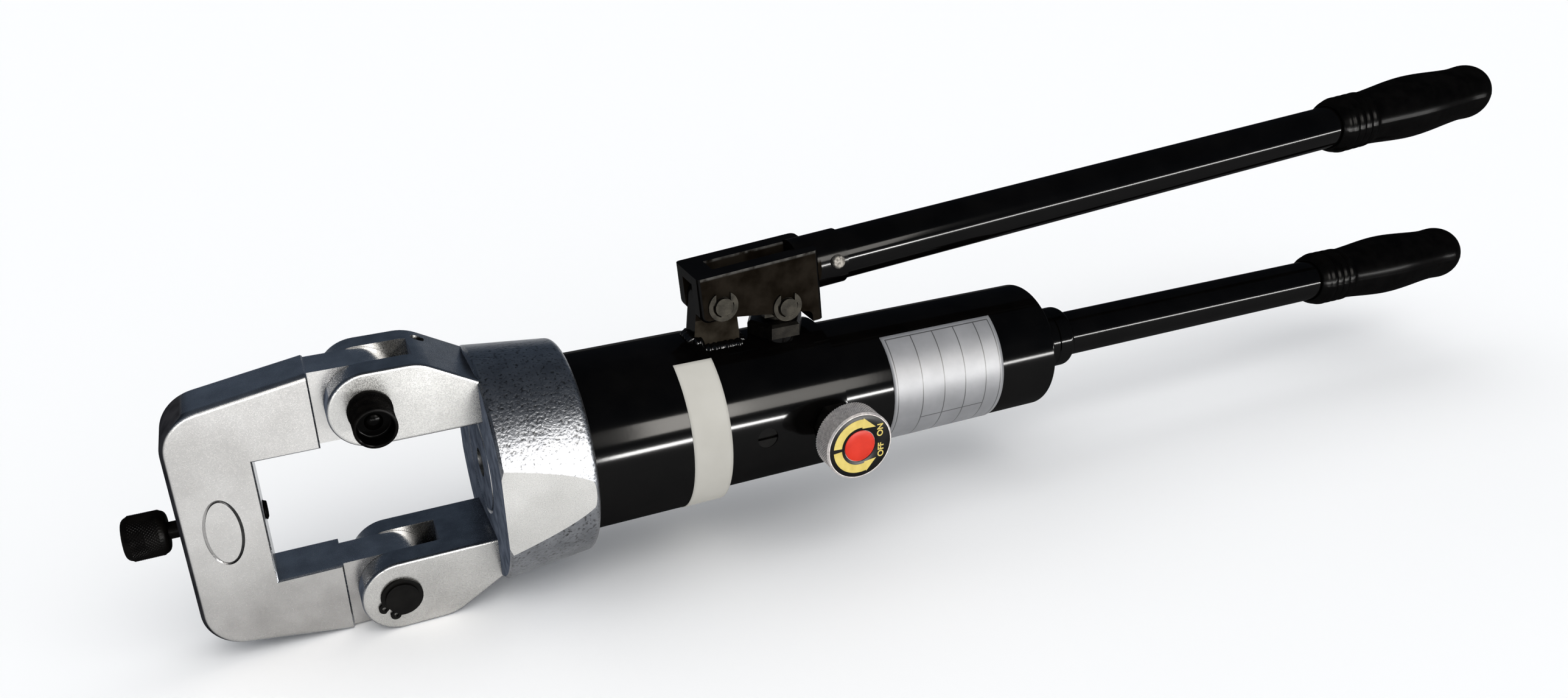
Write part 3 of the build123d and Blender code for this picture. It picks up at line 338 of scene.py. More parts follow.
# %% [markdown]
# ## Satin steel with a dark skin
# The yoke is forged and hardened, which leaves a dark skin. Then its front and back are ground flat and
# come out pale and satin, with a very fine grain, while the edges, the window and the slots keep the skin.
# One material does both: the direction in which a face looks tells ground faces from edges. A second
# colour recipe is mixed in by that mask. Downwards the ground faces are painted darker: painted shade,
# standing in for the shaded floor that they mirror near the tool. The faces that look along the tool, to
# the left, are painted black: painted shade for the dark that they mirror, and there the finish also stops
# being a metal. An oval groove is cut into the front, and its floor is painted dark: painted shade in the
# groove, most of it on the right.


# %% Helpers for masks
def math_step(tree, operation, first, second=0.0):
    step = tree.nodes.new("ShaderNodeMath")
    step.operation = operation
    for socket, value in zip(step.inputs, (first, second)):
        if isinstance(value, (int, float)):
            socket.default_value = value
        else:
            tree.links.new(value, socket)
    return step.outputs["Value"]


def times(tree, mask, *others):
    for other in others:
        mask = math_step(tree, "MULTIPLY", mask, other)
    return mask


def above(tree, value, limit):
    return math_step(tree, "GREATER_THAN", value, limit)


def below(tree, value, limit):
    return math_step(tree, "LESS_THAN", value, limit)


def fade(tree, value, start, end):
    ranged = tree.nodes.new("ShaderNodeMapRange")
    ranged.interpolation_type = "SMOOTHSTEP"
    ranged.inputs["From Min"].default_value = start
    ranged.inputs["From Max"].default_value = end
    tree.links.new(value, ranged.inputs["Value"])
    return ranged.outputs["Result"]


# %% Helpers for places and directions
def parts_of(tree, output):
    source = tree.nodes.new("ShaderNodeTexCoord")
    parts = tree.nodes.new("ShaderNodeSeparateXYZ")
    tree.links.new(source.outputs[output], parts.inputs["Vector"])
    return parts.outputs


def readings(tree):
    place, facing = parts_of(tree, "Object"), parts_of(tree, "Normal")
    return place, facing, math_step(tree, "ABSOLUTE", facing["Y"])


# %% Helpers for a second skin and for painted dark faces
dark_face_mottle, metal_ends, metal_whole = 160, 1.0, 0.8


def second_skin(tree, mask, dark, light, mottle):
    base_colour = sockets_of(tree)["Base Color"]
    mix = tree.nodes.new("ShaderNodeMix")
    mix.data_type = "RGBA"
    tree.links.new(mask, mix.inputs["Factor"])
    tree.links.new(base_colour.links[0].from_socket, mix.inputs["A"])
    tree.links.new(mottled(tree, dark, light, mottle), mix.inputs["B"])
    tree.links.new(mix.outputs["Result"], base_colour)


# Paints a face dark as painted shade, and stops it being a metal so that it mirrors nothing
def paint_dark_face(tree, mask, dark, light):
    second_skin(tree, mask, dark, light, dark_face_mottle)
    tree.links.new(fade(tree, mask, metal_ends, metal_whole), sockets_of(tree)["Metallic"])
    sockets_of(tree)["Specular IOR Level"].default_value = 0.0


# %% Satin steel on the yoke
shade_top, shade_bottom, shade_mottle = 4 * MM, -46 * MM, 52
ground_side, edge_side = 0.93, 0.80
satin_steel = finish(
    "satin_steel", (0.48, 0.47, 0.456), (0.58, 0.57, 0.556),
    rough=(0.20, 0.30), grain=2600, depth=0.012, mottle=38, metal=1.0,
)
tree = satin_steel.node_tree
place, facing, sideways = readings(tree)
# Painted shade: the ground faces are painted darker towards the bottom
low_shade = fade(tree, place["Z"], shade_top, shade_bottom)
second_skin(tree, low_shade, (0.32, 0.312, 0.303), (0.42, 0.41, 0.40), shade_mottle)
edge_face = fade(tree, sideways, ground_side, edge_side)
second_skin(tree, edge_face, (0.22, 0.225, 0.235), (0.31, 0.315, 0.325), mottle=120)
# Painted shade: faces that look to the left are painted black
looks_left = fade(tree, facing["X"], start=-0.15, end=-0.45)
paint_dark_face(tree, looks_left, (0.013, 0.013, 0.015), (0.026, 0.026, 0.029))
dress(satin_steel, "yoke")

# %% Painted shade in the yoke's groove
groove_depth, yoke_wall, looks_front = 0.7 * MM, 29.2 * MM, -0.9
lit_side, shaded_side, least_shade = 4 * MM, 17 * MM, 0.45
yoke_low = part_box("yoke")[0]
sunk = above(tree, place["Y"], yoke_low.y + groove_depth / 2)
groove_floor = times(tree, sunk, below(tree, facing["Y"], looks_front))
on_wall = below(tree, place["X"], yoke_low.x + yoke_wall)
rightwards = fade(tree, place["X"], yoke_low.x + lit_side, yoke_low.x + shaded_side)
# Painted shade on the groove's floor, darkest towards the right
groove_shade = times(tree, groove_floor, on_wall, math_step(tree, "MAXIMUM", rightwards, least_shade))
second_skin(tree, groove_shade, (0.020, 0.020, 0.021), (0.045, 0.044, 0.043), mottle=300)
print("groove floor at y mm:", round((yoke_low.y + groove_depth) / MM, 2))

# %% [markdown]
# ## Cast steel
# The collar is a casting. Its round shell keeps the grey skin of the sand mould, full of small pits, while
# the arms and the flats at its sides were ground like the yoke. How far a point lies along the tool tells
# the arms from the shell. The faces round the ram look along the tool and are painted dark blue-grey: a
# painted reflection of the dark room. Towards the bottom the collar is painted darker, as painted shade,
# like the yoke. The pits are a bump that is laid on the shell alone: it goes into the bump of the grain, so
# that both show.

# %% Cast steel on the collar
shell_start, flat_side = 0.5 * MM, 0.985


# Painted reflection: faces that look along the tool take the dark blue-grey of the room
def dark_front(tree, facing):
    looks_ahead = fade(tree, facing["X"], start=-0.72, end=-0.90)
    paint_dark_face(tree, looks_ahead, (0.062, 0.072, 0.094), (0.120, 0.138, 0.175))


cast_steel = finish(
    "cast_steel", (0.46, 0.455, 0.441), (0.55, 0.545, 0.53),
    rough=(0.23, 0.33), grain=2600, depth=0.012, mottle=38, metal=1.0,
)
tree = cast_steel.node_tree
place, facing, sideways = readings(tree)
# Painted shade: darker towards the bottom, as on the yoke
low_shade = fade(tree, place["Z"], shade_top, shade_bottom)
second_skin(tree, low_shade, (0.39, 0.384, 0.371), (0.47, 0.462, 0.448), shade_mottle)
cast_skin = times(tree, above(tree, place["X"], shell_start), below(tree, sideways, flat_side))
unground = math_step(tree, "MAXIMUM", fade(tree, sideways, ground_side, edge_side), cast_skin)
second_skin(tree, unground, (0.144, 0.150, 0.162), (0.205, 0.212, 0.225), mottle=160)
dark_front(tree, facing)
dress(cast_steel, "clevis_collar")

# %% Pits in the cast shell
shell_dullness = 0.05
pit_scale, pit_rim, pit_floor, pit_depth = 800, 0.48, 0.32, 0.30


def bump_of(tree):
    return next(node for node in tree.nodes if node.type == "BUMP")


roughness = sockets_of(tree)["Roughness"]
duller = times(tree, cast_skin, shell_dullness)
tree.links.new(math_step(tree, "ADD", roughness.links[0].from_socket, duller), roughness)
skin_height = noise(tree, pit_scale, detail=5.0)
pits = times(tree, fade(tree, skin_height, pit_rim, pit_floor), cast_skin)
second_skin(tree, pits, (0.05, 0.051, 0.053), (0.10, 0.101, 0.104), mottle=400)
grain_bump = bump_of(tree)
pit_bump = tree.nodes.new("ShaderNodeBump")
pit_bump.inputs["Distance"].default_value = pit_depth * MM
tree.links.new(times(tree, skin_height, cast_skin), pit_bump.inputs["Height"])
tree.links.new(pit_bump.outputs["Normal"], grain_bump.inputs["Normal"])
print("pits up to", pit_depth, "mm deep on", cast_steel.name)

# %% [markdown]
# ## Black gloss paint
# Cylinder, pump body, reservoir and tubes are sprayed with black gloss paint. The paint is almost black,
# so what one sees is its shine. A slow, shallow bump makes the slight orange peel of sprayed paint.

# %% Paint the tubes
paint_dark, paint_light, paint_mottle = (0.0008, 0.0007, 0.0007), (0.0018, 0.0016, 0.0015), 60
gloss_black = black_finish(
    "gloss_black", paint_dark, paint_light, coat=0.045,
    rough=(0.07, 0.13), grain=900, depth=0.003, mottle=paint_mottle,
)
dress(gloss_black, "front_cylinder", "pump_body", "reservoir_tube", "reservoir_cap")
dress(gloss_black, "handle_nut", "handle_tube", "lever_tube")

# %% [markdown]
# ## Phosphated and blackened steel
# The sides of the bracket and the lug are phosphated: a brown-black, mottled skin that soaks up oil and
# hardly shines. Their other faces and the bracket's socket were painted together with the tubes. Again the
# direction of a face tells one from the other, and a place along the tool finds the socket. Only the paint
# has a coat, and only the bare skin has the grain's bump. The foot of the lug, below the bracket, is
# painted a lighter brown: painted light that lifts the bracket's shadow there. Along the top of the
# bracket's sides a lighter colour is painted in a broken line: a painted highlight where the edge would
# catch the light. A mask finds it by the height above the lever's axis. Pins, clips and the gland nut are
# blackened or left as dull steel.

# %% Dress the lug and the bracket
socket_start = 152.0 * MM
bare_side, painted_side = 0.97, 0.90
paint_coat, paint_roughness = 0.04, 0.14
half_painted = black_finish(
    "phosphate_and_paint", (0.006, 0.0044, 0.0028), (0.017, 0.0135, 0.0098), coat=0.0,
    rough=(0.30, 0.42), grain=1900, depth=0.03, mottle=110,
)
tree, sockets = half_painted.node_tree, sockets_of(half_painted.node_tree)
place, facing, sideways = readings(tree)
on_socket = above(tree, place["X"], socket_start)
painted = math_step(tree, "MAXIMUM", on_socket, fade(tree, sideways, bare_side, painted_side))
unpainted = math_step(tree, "SUBTRACT", 1.0, painted)
second_skin(tree, painted, paint_dark, paint_light, paint_mottle)
sockets["Coat Roughness"].default_value = paint_roughness
tree.links.new(times(tree, painted, paint_coat), sockets["Coat Weight"])
tree.links.new(unpainted, bump_of(tree).inputs["Strength"])
dress(half_painted, "lever_lug", "lever_bracket")

# %% Paint light onto the lug's foot
foot_top, foot_end = 47.0 * MM, 120.0 * MM
# Painted light: the lug's foot is painted lighter where the bracket shades it
foot = times(tree, below(tree, place["Z"], foot_top), below(tree, place["X"], foot_end), unpainted)
second_skin(tree, foot, (0.016, 0.012, 0.0078), (0.045, 0.037, 0.027), mottle=140)
print("foot of the lug below z mm:", round(foot_top / MM, 1))

# %% Paint a highlight along the bracket's edge
lever_tilt = math.radians(4.75)
lever_run = Vector((math.cos(lever_tilt), 0.0, math.sin(lever_tilt)))
lever_rise = Vector((-math.sin(lever_tilt), 0.0, math.cos(lever_tilt)))
side_share = 0.9
edge_low, edge_high = 1.5 * MM, 0.6 * MM
bracket_points = [vertex.co for vertex in frame["nodes"]["lever_bracket"].data.vertices]
bracket_side = side_share * max(point.y for point in bracket_points)
bracket_top = max(point.dot(lever_rise) for point in bracket_points if point.y > bracket_side)
leaned, upright = times(tree, place["X"], lever_rise.x), times(tree, place["Z"], lever_rise.z)
height_up = math_step(tree, "ADD", leaned, upright)
near_edge = fade(tree, height_up, bracket_top - edge_low, bracket_top - edge_high)
broken = fade(tree, noise(tree, scale=150), start=0.30, end=0.50)
# Painted highlight: a lighter broken line along the top of the bracket's sides
edge_highlight = times(tree, near_edge, broken, unpainted)
second_skin(tree, edge_highlight, (0.060, 0.057, 0.051), (0.110, 0.105, 0.096), mottle=300)
print("bracket's edge above the lever's line, mm:", round(bracket_top / MM, 2))

# %% Dress the pins and the small hardware
black_oxide = black_finish(
    "black_oxide", (0.0020, 0.0018, 0.0016), (0.0050, 0.0045, 0.0040), coat=0.035,
    rough=(0.26, 0.40), grain=2400, depth=0.02, mottle=200,
)
dull_recipe = {
    "rough": (0.34, 0.48), "grain": 2200, "depth": 0.03, "mottle": 260, "metal": 0.8, "specular": 0.2,
}
dull_steel = finish("dull_steel", (0.0060, 0.0054, 0.0041), (0.0160, 0.0145, 0.0113), **dull_recipe)
nut_steel = finish("nut_steel", (0.0030, 0.0026, 0.0020), (0.0076, 0.0068, 0.0053), **dull_recipe)
rivet_steel = finish(
    "rivet_steel", (0.02, 0.0185, 0.016), (0.13, 0.122, 0.11),
    rough=(0.46, 0.64), grain=1500, depth=0.08, mottle=900, metal=0.5, specular=0.2,
)
dress(black_oxide, "hinge_pin", "hinge_circlips", "arm_set_screw", "release_gland", "relief_plug")
dress(dull_steel, "pivot_pin", "plunger_pin", "pin_clips", "plunger")
dress(nut_steel, "gland_nut")
dress(rivet_steel, "lever_rivet")

# %% [markdown]
# ## Ground steel and the pieces inside
# The ram and the latch pin slide in bores, so they are ground bright, and the ram's face is painted as dark
# as the collar's: the same painted reflection of the dark room. Inside sit valves, springs, balls, a brass
# strainer and seals. They can't be seen from outside, but a tool that is opened on screen should look
# right there too.

# %% Dress the sliding pieces
ground_dark, ground_light = (0.52, 0.52, 0.52), (0.60, 0.60, 0.59)
ground_recipe = {"rough": (0.16, 0.26), "grain": 3200, "depth": 0.01, "mottle": 90, "metal": 1.0}
ground_steel = finish("ground_steel", ground_dark, ground_light, **ground_recipe)
ram_steel = finish("ram_steel", ground_dark, ground_light, **ground_recipe)
# Painted reflection: the ram's face gets the collar's dark blue-grey
dark_front(ram_steel.node_tree, parts_of(ram_steel.node_tree, "Normal"))
dress(ground_steel, "latch_pin", "release_spindle", "delivery_retainer", "suction_seat")
dress(ram_steel, "ram")

# %% Dress the inner pieces
spring_steel = finish(
    "spring_steel", (0.20, 0.20, 0.21), (0.32, 0.32, 0.33),
    rough=(0.28, 0.40), grain=2600, depth=0.02, mottle=180, metal=1.0,
)
ball_steel = finish(
    "ball_steel", (0.66, 0.66, 0.67), (0.72, 0.72, 0.73),
    rough=(0.06, 0.12), grain=4000, depth=0.004, mottle=300, metal=1.0,
)
strainer_brass = finish(
    "strainer_brass", (0.52, 0.36, 0.13), (0.66, 0.47, 0.18),
    rough=(0.26, 0.40), grain=2400, depth=0.02, mottle=220, metal=1.0,
)
seal_rubber = finish(
    "seal_rubber", (0.012, 0.012, 0.013), (0.022, 0.021, 0.020),
    rough=(0.50, 0.66), grain=2600, depth=0.03, mottle=240,
)
dress(spring_steel, "relief_spring")
dress(ball_steel, "relief_ball", "release_ball", "delivery_ball", "suction_ball")
dress(strainer_brass, "suction_strainer")
dress(seal_rubber, "ram_seal", "ram_wiper", "plunger_packing", "static_seals")

# %% [markdown]
# ## Turned pieces
# Knobs and grips are turned shapes: an outline goes once round an axis. Blender's Screw modifier can do
# that, but here each ring of points is laid one by one, because a knurl, a thread or a fold has to change
# the radius from point to point. A small function, the relief, says how much to add at each place. Sizes
# are in millimetres.

# %% A lathe with relief
along, forward, up = Vector((1, 0, 0)), Vector((0, -1, 0)), Vector((0, 0, 1))
sharp_degrees = 40


def smooth_object(name, builder):
    bmesh.ops.recalc_face_normals(builder, faces=builder.faces)
    made = mesh_object(name, builder)
    made.data.shade_smooth()
    print(name, "faces:", len(made.data.polygons))
    return made


def turned(name, rows, origin, axis, zero, columns, relief=None):
    quarter = axis.cross(zero)
    builder = bmesh.new()
    rings = []
    for distance, radius in rows:
        centre = Vector(origin) + axis * distance
        if radius == 0:
            rings.append([builder.verts.new(centre * MM)])
            continue
        ring = []
        for column in range(columns):
            share = column / columns
            reach = radius + (relief(share, distance) if relief else 0.0)
            outward = zero * math.cos(math.tau * share) + quarter * math.sin(math.tau * share)
            ring.append(builder.verts.new((centre + outward * reach) * MM))
        rings.append(ring)
    for first, second in zip(rings, rings[1:]):
        for column in range(columns):
            after = (column + 1) % columns
            corners = [first[column % len(first)], first[after % len(first)]]
            corners += [second[after % len(second)], second[column % len(second)]]
            builder.faces.new(list(dict.fromkeys(corners)))
    made = smooth_object(name, builder)
    made.data.set_sharp_from_angle(angle=math.radians(sharp_degrees))
    return made


# %% Helpers for outlines
def steps(start, end, size):
    count = max(1, round((end - start) / size))
    return [start + (end - start) * step / count for step in range(count + 1)]


def corner(centre, radius, start, end, count=6):
    turns = [math.radians(start + (end - start) * step / count) for step in range(count + 1)]
    return [(centre[0] + radius * math.cos(t), centre[1] + radius * math.sin(t)) for t in turns]


def beside(distance, radius, outline):
    return [(distance + further, radius + wider) for further, wider in outline]


def box_mm(name):
    low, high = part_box(name)
    return low / MM, high / MM


# %% [markdown]
# ## Knurling
# A knurl is pressed into a turning piece by two hardened wheels, each of which leaves slanted V grooves.
# Where the two sets cross, small pyramids stay. The height of a point is the lower of the two V shapes
# there. Four points for each groove are enough to give every pyramid its tip, its valleys and its flanks.
# One function gives all that a knurled knob needs: the points round it, the relief and the outline.

# %% A diamond knurl
groove_points = 4


def vee(position):
    return abs(2 * (position % 1.0) - 1)


def diamond_knurl(radius, pitch, depth, start, end):
    grooves = round(math.tau * radius / pitch)

    def relief(share, distance):
        if not start <= distance <= end:
            return 0.0
        round_about = share * grooves
        lengthwise = (distance - start) / pitch
        return depth * min(vee(round_about + lengthwise), vee(round_about - lengthwise))

    outline = [(at, radius - depth) for at in steps(start, end, pitch / groove_points)]
    return groove_points * grooves, relief, outline


# %% [markdown]
# ## The thumb screw
# A knurled screw goes through the back wall of the yoke and holds the upper die with its tip. Its knob is
# rounded at both ends and blackened. The knurl stops short of the rounded ends, as the wheels would. The
# thread is real too: its height follows the turn, so that one ridge winds along the shank.

# %% Measure the thumb screw
screw_low, screw_high = box_mm("die_screw")
knob_length, knob_radius, knob_round = 15.2, 8.8, 2.6
neck_end, neck_radius = 19.2, 3.3
shank_end, shank_radius = screw_high.x - screw_low.x, 4.0
knurl_pitch, knurl_depth, knurl_margin = 1.25, 0.45, 0.8 * knob_round
thread_pitch, thread_depth, thread_points, thread_gap = 1.25, 0.55, 6, 0.01
knob_dish = ((0.5, 0.0), (0.5, 4.2), (0.0, 4.8))
tip_length, tip_drop = 0.6, 0.7
knurl_span = (knurl_margin, knob_length - knurl_margin)
thumb_columns, thumb_knurl, thumb_outline = diamond_knurl(
    knob_radius, knurl_pitch, knurl_depth, *knurl_span
)
print("points round the thumb screw:", thumb_columns)


# %% Build the thumb screw
def thumb_relief(share, distance):
    if distance > neck_end:
        return -thread_depth * vee((distance - neck_end) / thread_pitch - share)
    return thumb_knurl(share, distance)


def settle(piece, material, body, node=None):
    piece.data.materials.append(material)
    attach(piece, body)
    if node:
        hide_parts(node)


skin = knob_radius - knurl_depth
round_end = knob_length - knob_round
thread_steps = steps(neck_end + thread_gap, shank_end - tip_length, thread_pitch / thread_points)
thumb_rows = list(knob_dish)
thumb_rows += corner((knob_round, skin - knob_round), knob_round, 180, 90)
thumb_rows += [row for row in thumb_outline if knob_round < row[0] < round_end]
thumb_rows += corner((round_end, skin - knob_round), knob_round, 90, 0)
thumb_rows += [(knob_length, neck_radius), (neck_end, neck_radius)]
thumb_rows += [(at, shank_radius) for at in thread_steps]
thumb_rows += [(shank_end, shank_radius - tip_drop), (shank_end, 0.0)]
thumb_place = (screw_low.x, 0.0, 0.0)
thumb_screw = turned("thumb_screw_knurled", thumb_rows, thumb_place, along, up, thumb_columns, thumb_relief)
knob_black = black_finish(
    "knob_black", (0.0012, 0.0010, 0.0009), (0.0032, 0.0027, 0.0023), coat=0.016,
    rough=(0.28, 0.42), grain=2400, depth=0.02, mottle=300,
)
settle(thumb_screw, knob_black, "thumb_screw", "die_screw")

# %% [markdown]
# ## The latch knob
# Pulling this knob draws the upper cross pin out of the yoke. It is a blackened cup: a flange against the
# arm, a knurled body, and a deep recess in front with a domed floor. Shell and cup are two turned pieces,
# because the knurl needs many points round and the smooth cup needs few.


# %% Measure the latch knob
def front_knob(name):
    low, high = box_mm(name)
    middle = (low + high) / 2
    return Vector((middle.x, high.y, middle.z)), high.y - low.y


latch_place, latch_length = front_knob("latch_knob")
latch_body, latch_flange, flange_width, flange_foot = 8.0, 8.3, 2.2, 0.3
flange_back, flange_front = ((0.0, -0.5), (0.5, 0.0)), ((-0.4, 0.0), (0.0, -0.4))
latch_rim = ((-0.6, -0.1), (-0.2, -0.15), (0.0, -0.4))
cup_radius, cup_depth, cup_mouth = 6.6, 6.5, ((0.0, 0.4), (-0.15, 0.1), (-0.5, 0.0))
latch_pitch, latch_depth, knurl_back_gap, knurl_front_gap = 1.35, 0.50, 0.6, 0.7
knurl_span = (flange_width + knurl_back_gap, latch_length - knurl_front_gap)
latch_columns, latch_knurl, latch_outline = diamond_knurl(
    latch_body, latch_pitch, latch_depth, *knurl_span
)
print("points round the latch knob:", latch_columns)

# %% Build the latch knob's shell
body_skin = latch_body - latch_depth
latch_rows = [(0.0, 0.0)] + beside(0.0, latch_flange, flange_back)
latch_rows += beside(flange_width, latch_flange, flange_front)
latch_rows += [(flange_width + flange_foot, body_skin)]
latch_rows += latch_outline
latch_rows += beside(latch_length, latch_body, latch_rim)
latch_rows += beside(latch_length, cup_radius, cup_mouth[:1])
latch_shell = turned("latch_knob_shell", latch_rows, latch_place, forward, up, latch_columns, latch_knurl)
settle(latch_shell, knob_black, "latch", "latch_knob")

# %% Build the latch knob's cup
cup_floor, cup_round, cup_columns = latch_length - cup_depth, 1.0, 96
cup_dome = ((0.0, 3.4), (0.7, 2.6), (1.0, 0.0))
cup_rows = beside(latch_length, cup_radius, cup_mouth)
cup_rows += corner((cup_floor + cup_round, cup_radius - cup_round), cup_round, 90, 180)
cup_rows += beside(cup_floor, 0.0, cup_dome)
latch_cup = turned("latch_knob_cup", cup_rows, latch_place, forward, up, cup_columns)
# The cup is a darker black than the shell, with a thinner coat: painted shade inside the recess
cup_black = black_finish(
    "cup_black", (0.0008, 0.0007, 0.0006), (0.0018, 0.0016, 0.0014), coat=0.012,
    rough=(0.14, 0.22), grain=2400, depth=0.01, mottle=300,
)
settle(latch_cup, cup_black, "latch", "latch_knob")

# %% [markdown]
# ## The release knob
# Turning this knob lets the oil flow back. Its rim is bright knurled metal with a turned edge. A black
# plate is let into its face, printed with two yellow arrows that run from the left to the words ON and
# OFF, and a red button covers the screw in the middle. Arrows and words are thin shapes laid on the plate.

# %% Measure the release knob
release_place, release_length = front_knob("release_knob")
release_radius = box_mm("release_knob")[1].x - release_place.x
release_pitch, release_depth, edge, land_start = 1.2, 0.45, 0.75, 0.1
rim_back_gap, rim_front_gap = 0.2, 0.35
knurl_span = (edge + rim_back_gap, release_length - edge - rim_front_gap)
face_gap, seat_drop, seat_dish = 0.25, 0.2, 0.6
face_radius, seat_level = release_radius - edge - face_gap, release_length - seat_drop
release_columns, release_knurl, release_outline = diamond_knurl(
    release_radius, release_pitch, release_depth, *knurl_span
)
print("points round the release knob:", release_columns)

# %% Turn the rim
release_skin = release_radius - release_depth
rim_rows = [(0.0, 0.0), (0.0, release_skin - edge), (edge, release_skin)]
rim_rows += release_outline
rim_rows += [(knurl_span[1] + land_start, release_radius), (release_length - edge, release_radius)]
rim_rows += [(release_length, release_radius - edge), (release_length, face_radius)]
rim_rows += [(seat_level, face_radius), (seat_level - seat_dish, 0.0)]
release_rim = turned(
    "release_knob_rim", rim_rows, release_place, forward, along, release_columns, release_knurl
)
knurled_nickel = finish(
    "knurled_nickel", (0.44, 0.405, 0.39), (0.66, 0.62, 0.59),
    rough=(0.30, 0.42), grain=2600, depth=0.02, mottle=700, metal=0.7,
)
settle(release_rim, knurled_nickel, "release_valve", "release_knob")

# %% Fit the black plate and the red button
button_radius, face_sink = 7.1, 0.06
face_level = release_length - face_sink
face_hole = ((-0.5, 0.25), (-0.12, 0.25), (0.0, 0.4))
face_edge = ((0.0, -0.12), (-0.1, 0.0))
button_edge = ((-0.5, 0.1), (-0.12, 0.0), (-0.02, -0.2))
button_crown = ((0.05, 0.6 * button_radius), (0.06, 0.0))
face_columns, button_columns = 160, 120
face_rows = beside(face_level, button_radius, face_hole) + beside(face_level, face_radius, face_edge)
release_face = turned("release_knob_face", face_rows, release_place, forward, along, face_columns)
button_rows = beside(face_level, button_radius, button_edge) + beside(face_level, 0.0, button_crown)
release_button = turned("release_knob_button", button_rows, release_place, forward, along, button_columns)
face_black = black_finish(
    "face_black", (0.003, 0.003, 0.003), (0.006, 0.006, 0.005), coat=0.05,
    rough=(0.28, 0.38), grain=2600, depth=0.01, mottle=300,
)
button_red = finish(
    "button_red", (0.68, 0.030, 0.012), (0.76, 0.038, 0.016),
    rough=(0.34, 0.44), grain=2400, depth=0.01, mottle=200, specular=0.1,
)
settle(release_face, face_black, "release_valve")
settle(release_button, button_red, "release_valve")

# %% Cut the two arrows
arrow_inner, arrow_outer, arrow_barb, arrow_pieces = 8.75, 12.55, 0.55, 40
arrow_turns = ((175.5, 84.0, 47.0), (184.5, 284.0, 317.0))
print_lift, print_thickness = 0.06, 0.05


def on_face(across, upward, lift):
    return (release_place + Vector((across, -face_level - lift, upward))) * MM


def arrow_point(radius, degrees):
    angle = math.radians(degrees)
    return on_face(radius * math.cos(angle), radius * math.sin(angle), print_lift)


def arrow(builder, start, neck, tip):
    lower, upper = [], []
    for step in range(arrow_pieces + 1):
        degrees = start + (neck - start) * step / arrow_pieces
        lower.append(builder.verts.new(arrow_point(arrow_inner, degrees)))
        upper.append(builder.verts.new(arrow_point(arrow_outer, degrees)))
    for step in range(arrow_pieces):
        builder.faces.new((lower[step], lower[step + 1], upper[step + 1], upper[step]))
    middle = (arrow_inner + arrow_outer) / 2
    head = ((arrow_inner - arrow_barb, neck), (arrow_outer + arrow_barb, neck), (middle, tip))
    builder.faces.new([builder.verts.new(arrow_point(radius, degrees)) for radius, degrees in head])


builder = bmesh.new()
for turns in arrow_turns:
    arrow(builder, *turns)
bmesh.ops.recalc_face_normals(builder, faces=builder.faces)
release_arrows = mesh_object("release_knob_arrows", builder)
thicken = release_arrows.modifiers.new("print thickness", "SOLIDIFY")
thicken.thickness = print_thickness * MM
print_yellow = finish(
    "print_yellow", (0.68, 0.52, 0.10), (0.78, 0.61, 0.14),
    rough=(0.36, 0.46), grain=2400, depth=0.01, mottle=300, specular=0.3,
)
settle(release_arrows, print_yellow, "release_valve")
print("arrow faces:", len(release_arrows.data.polygons))

# %% Set the two words
word_tall, font_share, word_lift = 2.8, 1.38, 0.05
word_thickness, word_weight = 0.02, 0.09
# Letters stand on their side and face the front
word_turn = Matrix(((0, -1, 0, 0), (0, 0, -1, 0), (1, 0, 0, 0), (0, 0, 0, 1)))


def word(name, letters, across, upward):
    curve = bpy.data.curves.new(name, "FONT")
    curve.body = letters
    curve.size = word_tall * MM * font_share
    curve.align_x = "CENTER"
    curve.align_y = "CENTER"
    curve.extrude = word_thickness * MM
    curve.offset = word_weight * MM
    text = bpy.data.objects.new(name + "_curve", curve)
    text.matrix_world = Matrix.Translation(on_face(across, upward, word_lift)) @ word_turn
    scene.collection.objects.link(text)
    bpy.context.view_layer.update()
    shape = bpy.data.meshes.new_from_object(text.evaluated_get(bpy.context.evaluated_depsgraph_get()))
    shape.transform(text.matrix_world)
    bpy.data.objects.remove(text)
    made = bpy.data.objects.new(name, shape)
    scene.collection.objects.link(made)
    made.data.materials.clear()
    settle(made, print_yellow, "release_valve")
    print(name, "faces:", len(shape.polygons))


word("release_word_on", "ON", across=9.6, upward=5.7)
word("release_word_off", "OFF", across=10.1, upward=-3.9)

# %% [markdown]
# ## The rubber grips
# Each handle ends in a moulded black grip: a thin lip, four ribs for the thumb, a belly that fills the
# palm, a waist and a domed end. Both come from one mould, so one outline makes both. The belly and waist
# follow a smooth curve through a few measured radii. A faint ridge runs along both sides where the mould's
# halves met.


# %% A smooth curve through a few points
def smooth_curve(points, at):
    ghost_first = (2 * points[0][0] - points[1][0], points[0][1])
    ghost_last = (2 * points[-1][0] - points[-2][0], points[-1][1])
    chain = [ghost_first, *points, ghost_last]
    for before, left, right, after in zip(chain, chain[1:], chain[2:], chain[3:]):
        if at <= right[0] or right == points[-1]:
            span = right[0] - left[0]
            t = (at - left[0]) / span
            slope_left = (right[1] - before[1]) / (right[0] - before[0]) * span
            slope_right = (after[1] - left[1]) / (after[0] - left[0]) * span
            return (
                (2 * t**3 - 3 * t**2 + 1) * left[1]
                + (t**3 - 2 * t**2 + t) * slope_left
                + (3 * t**2 - 2 * t**3) * right[1]
                + (t**3 - t**2) * slope_right
            )


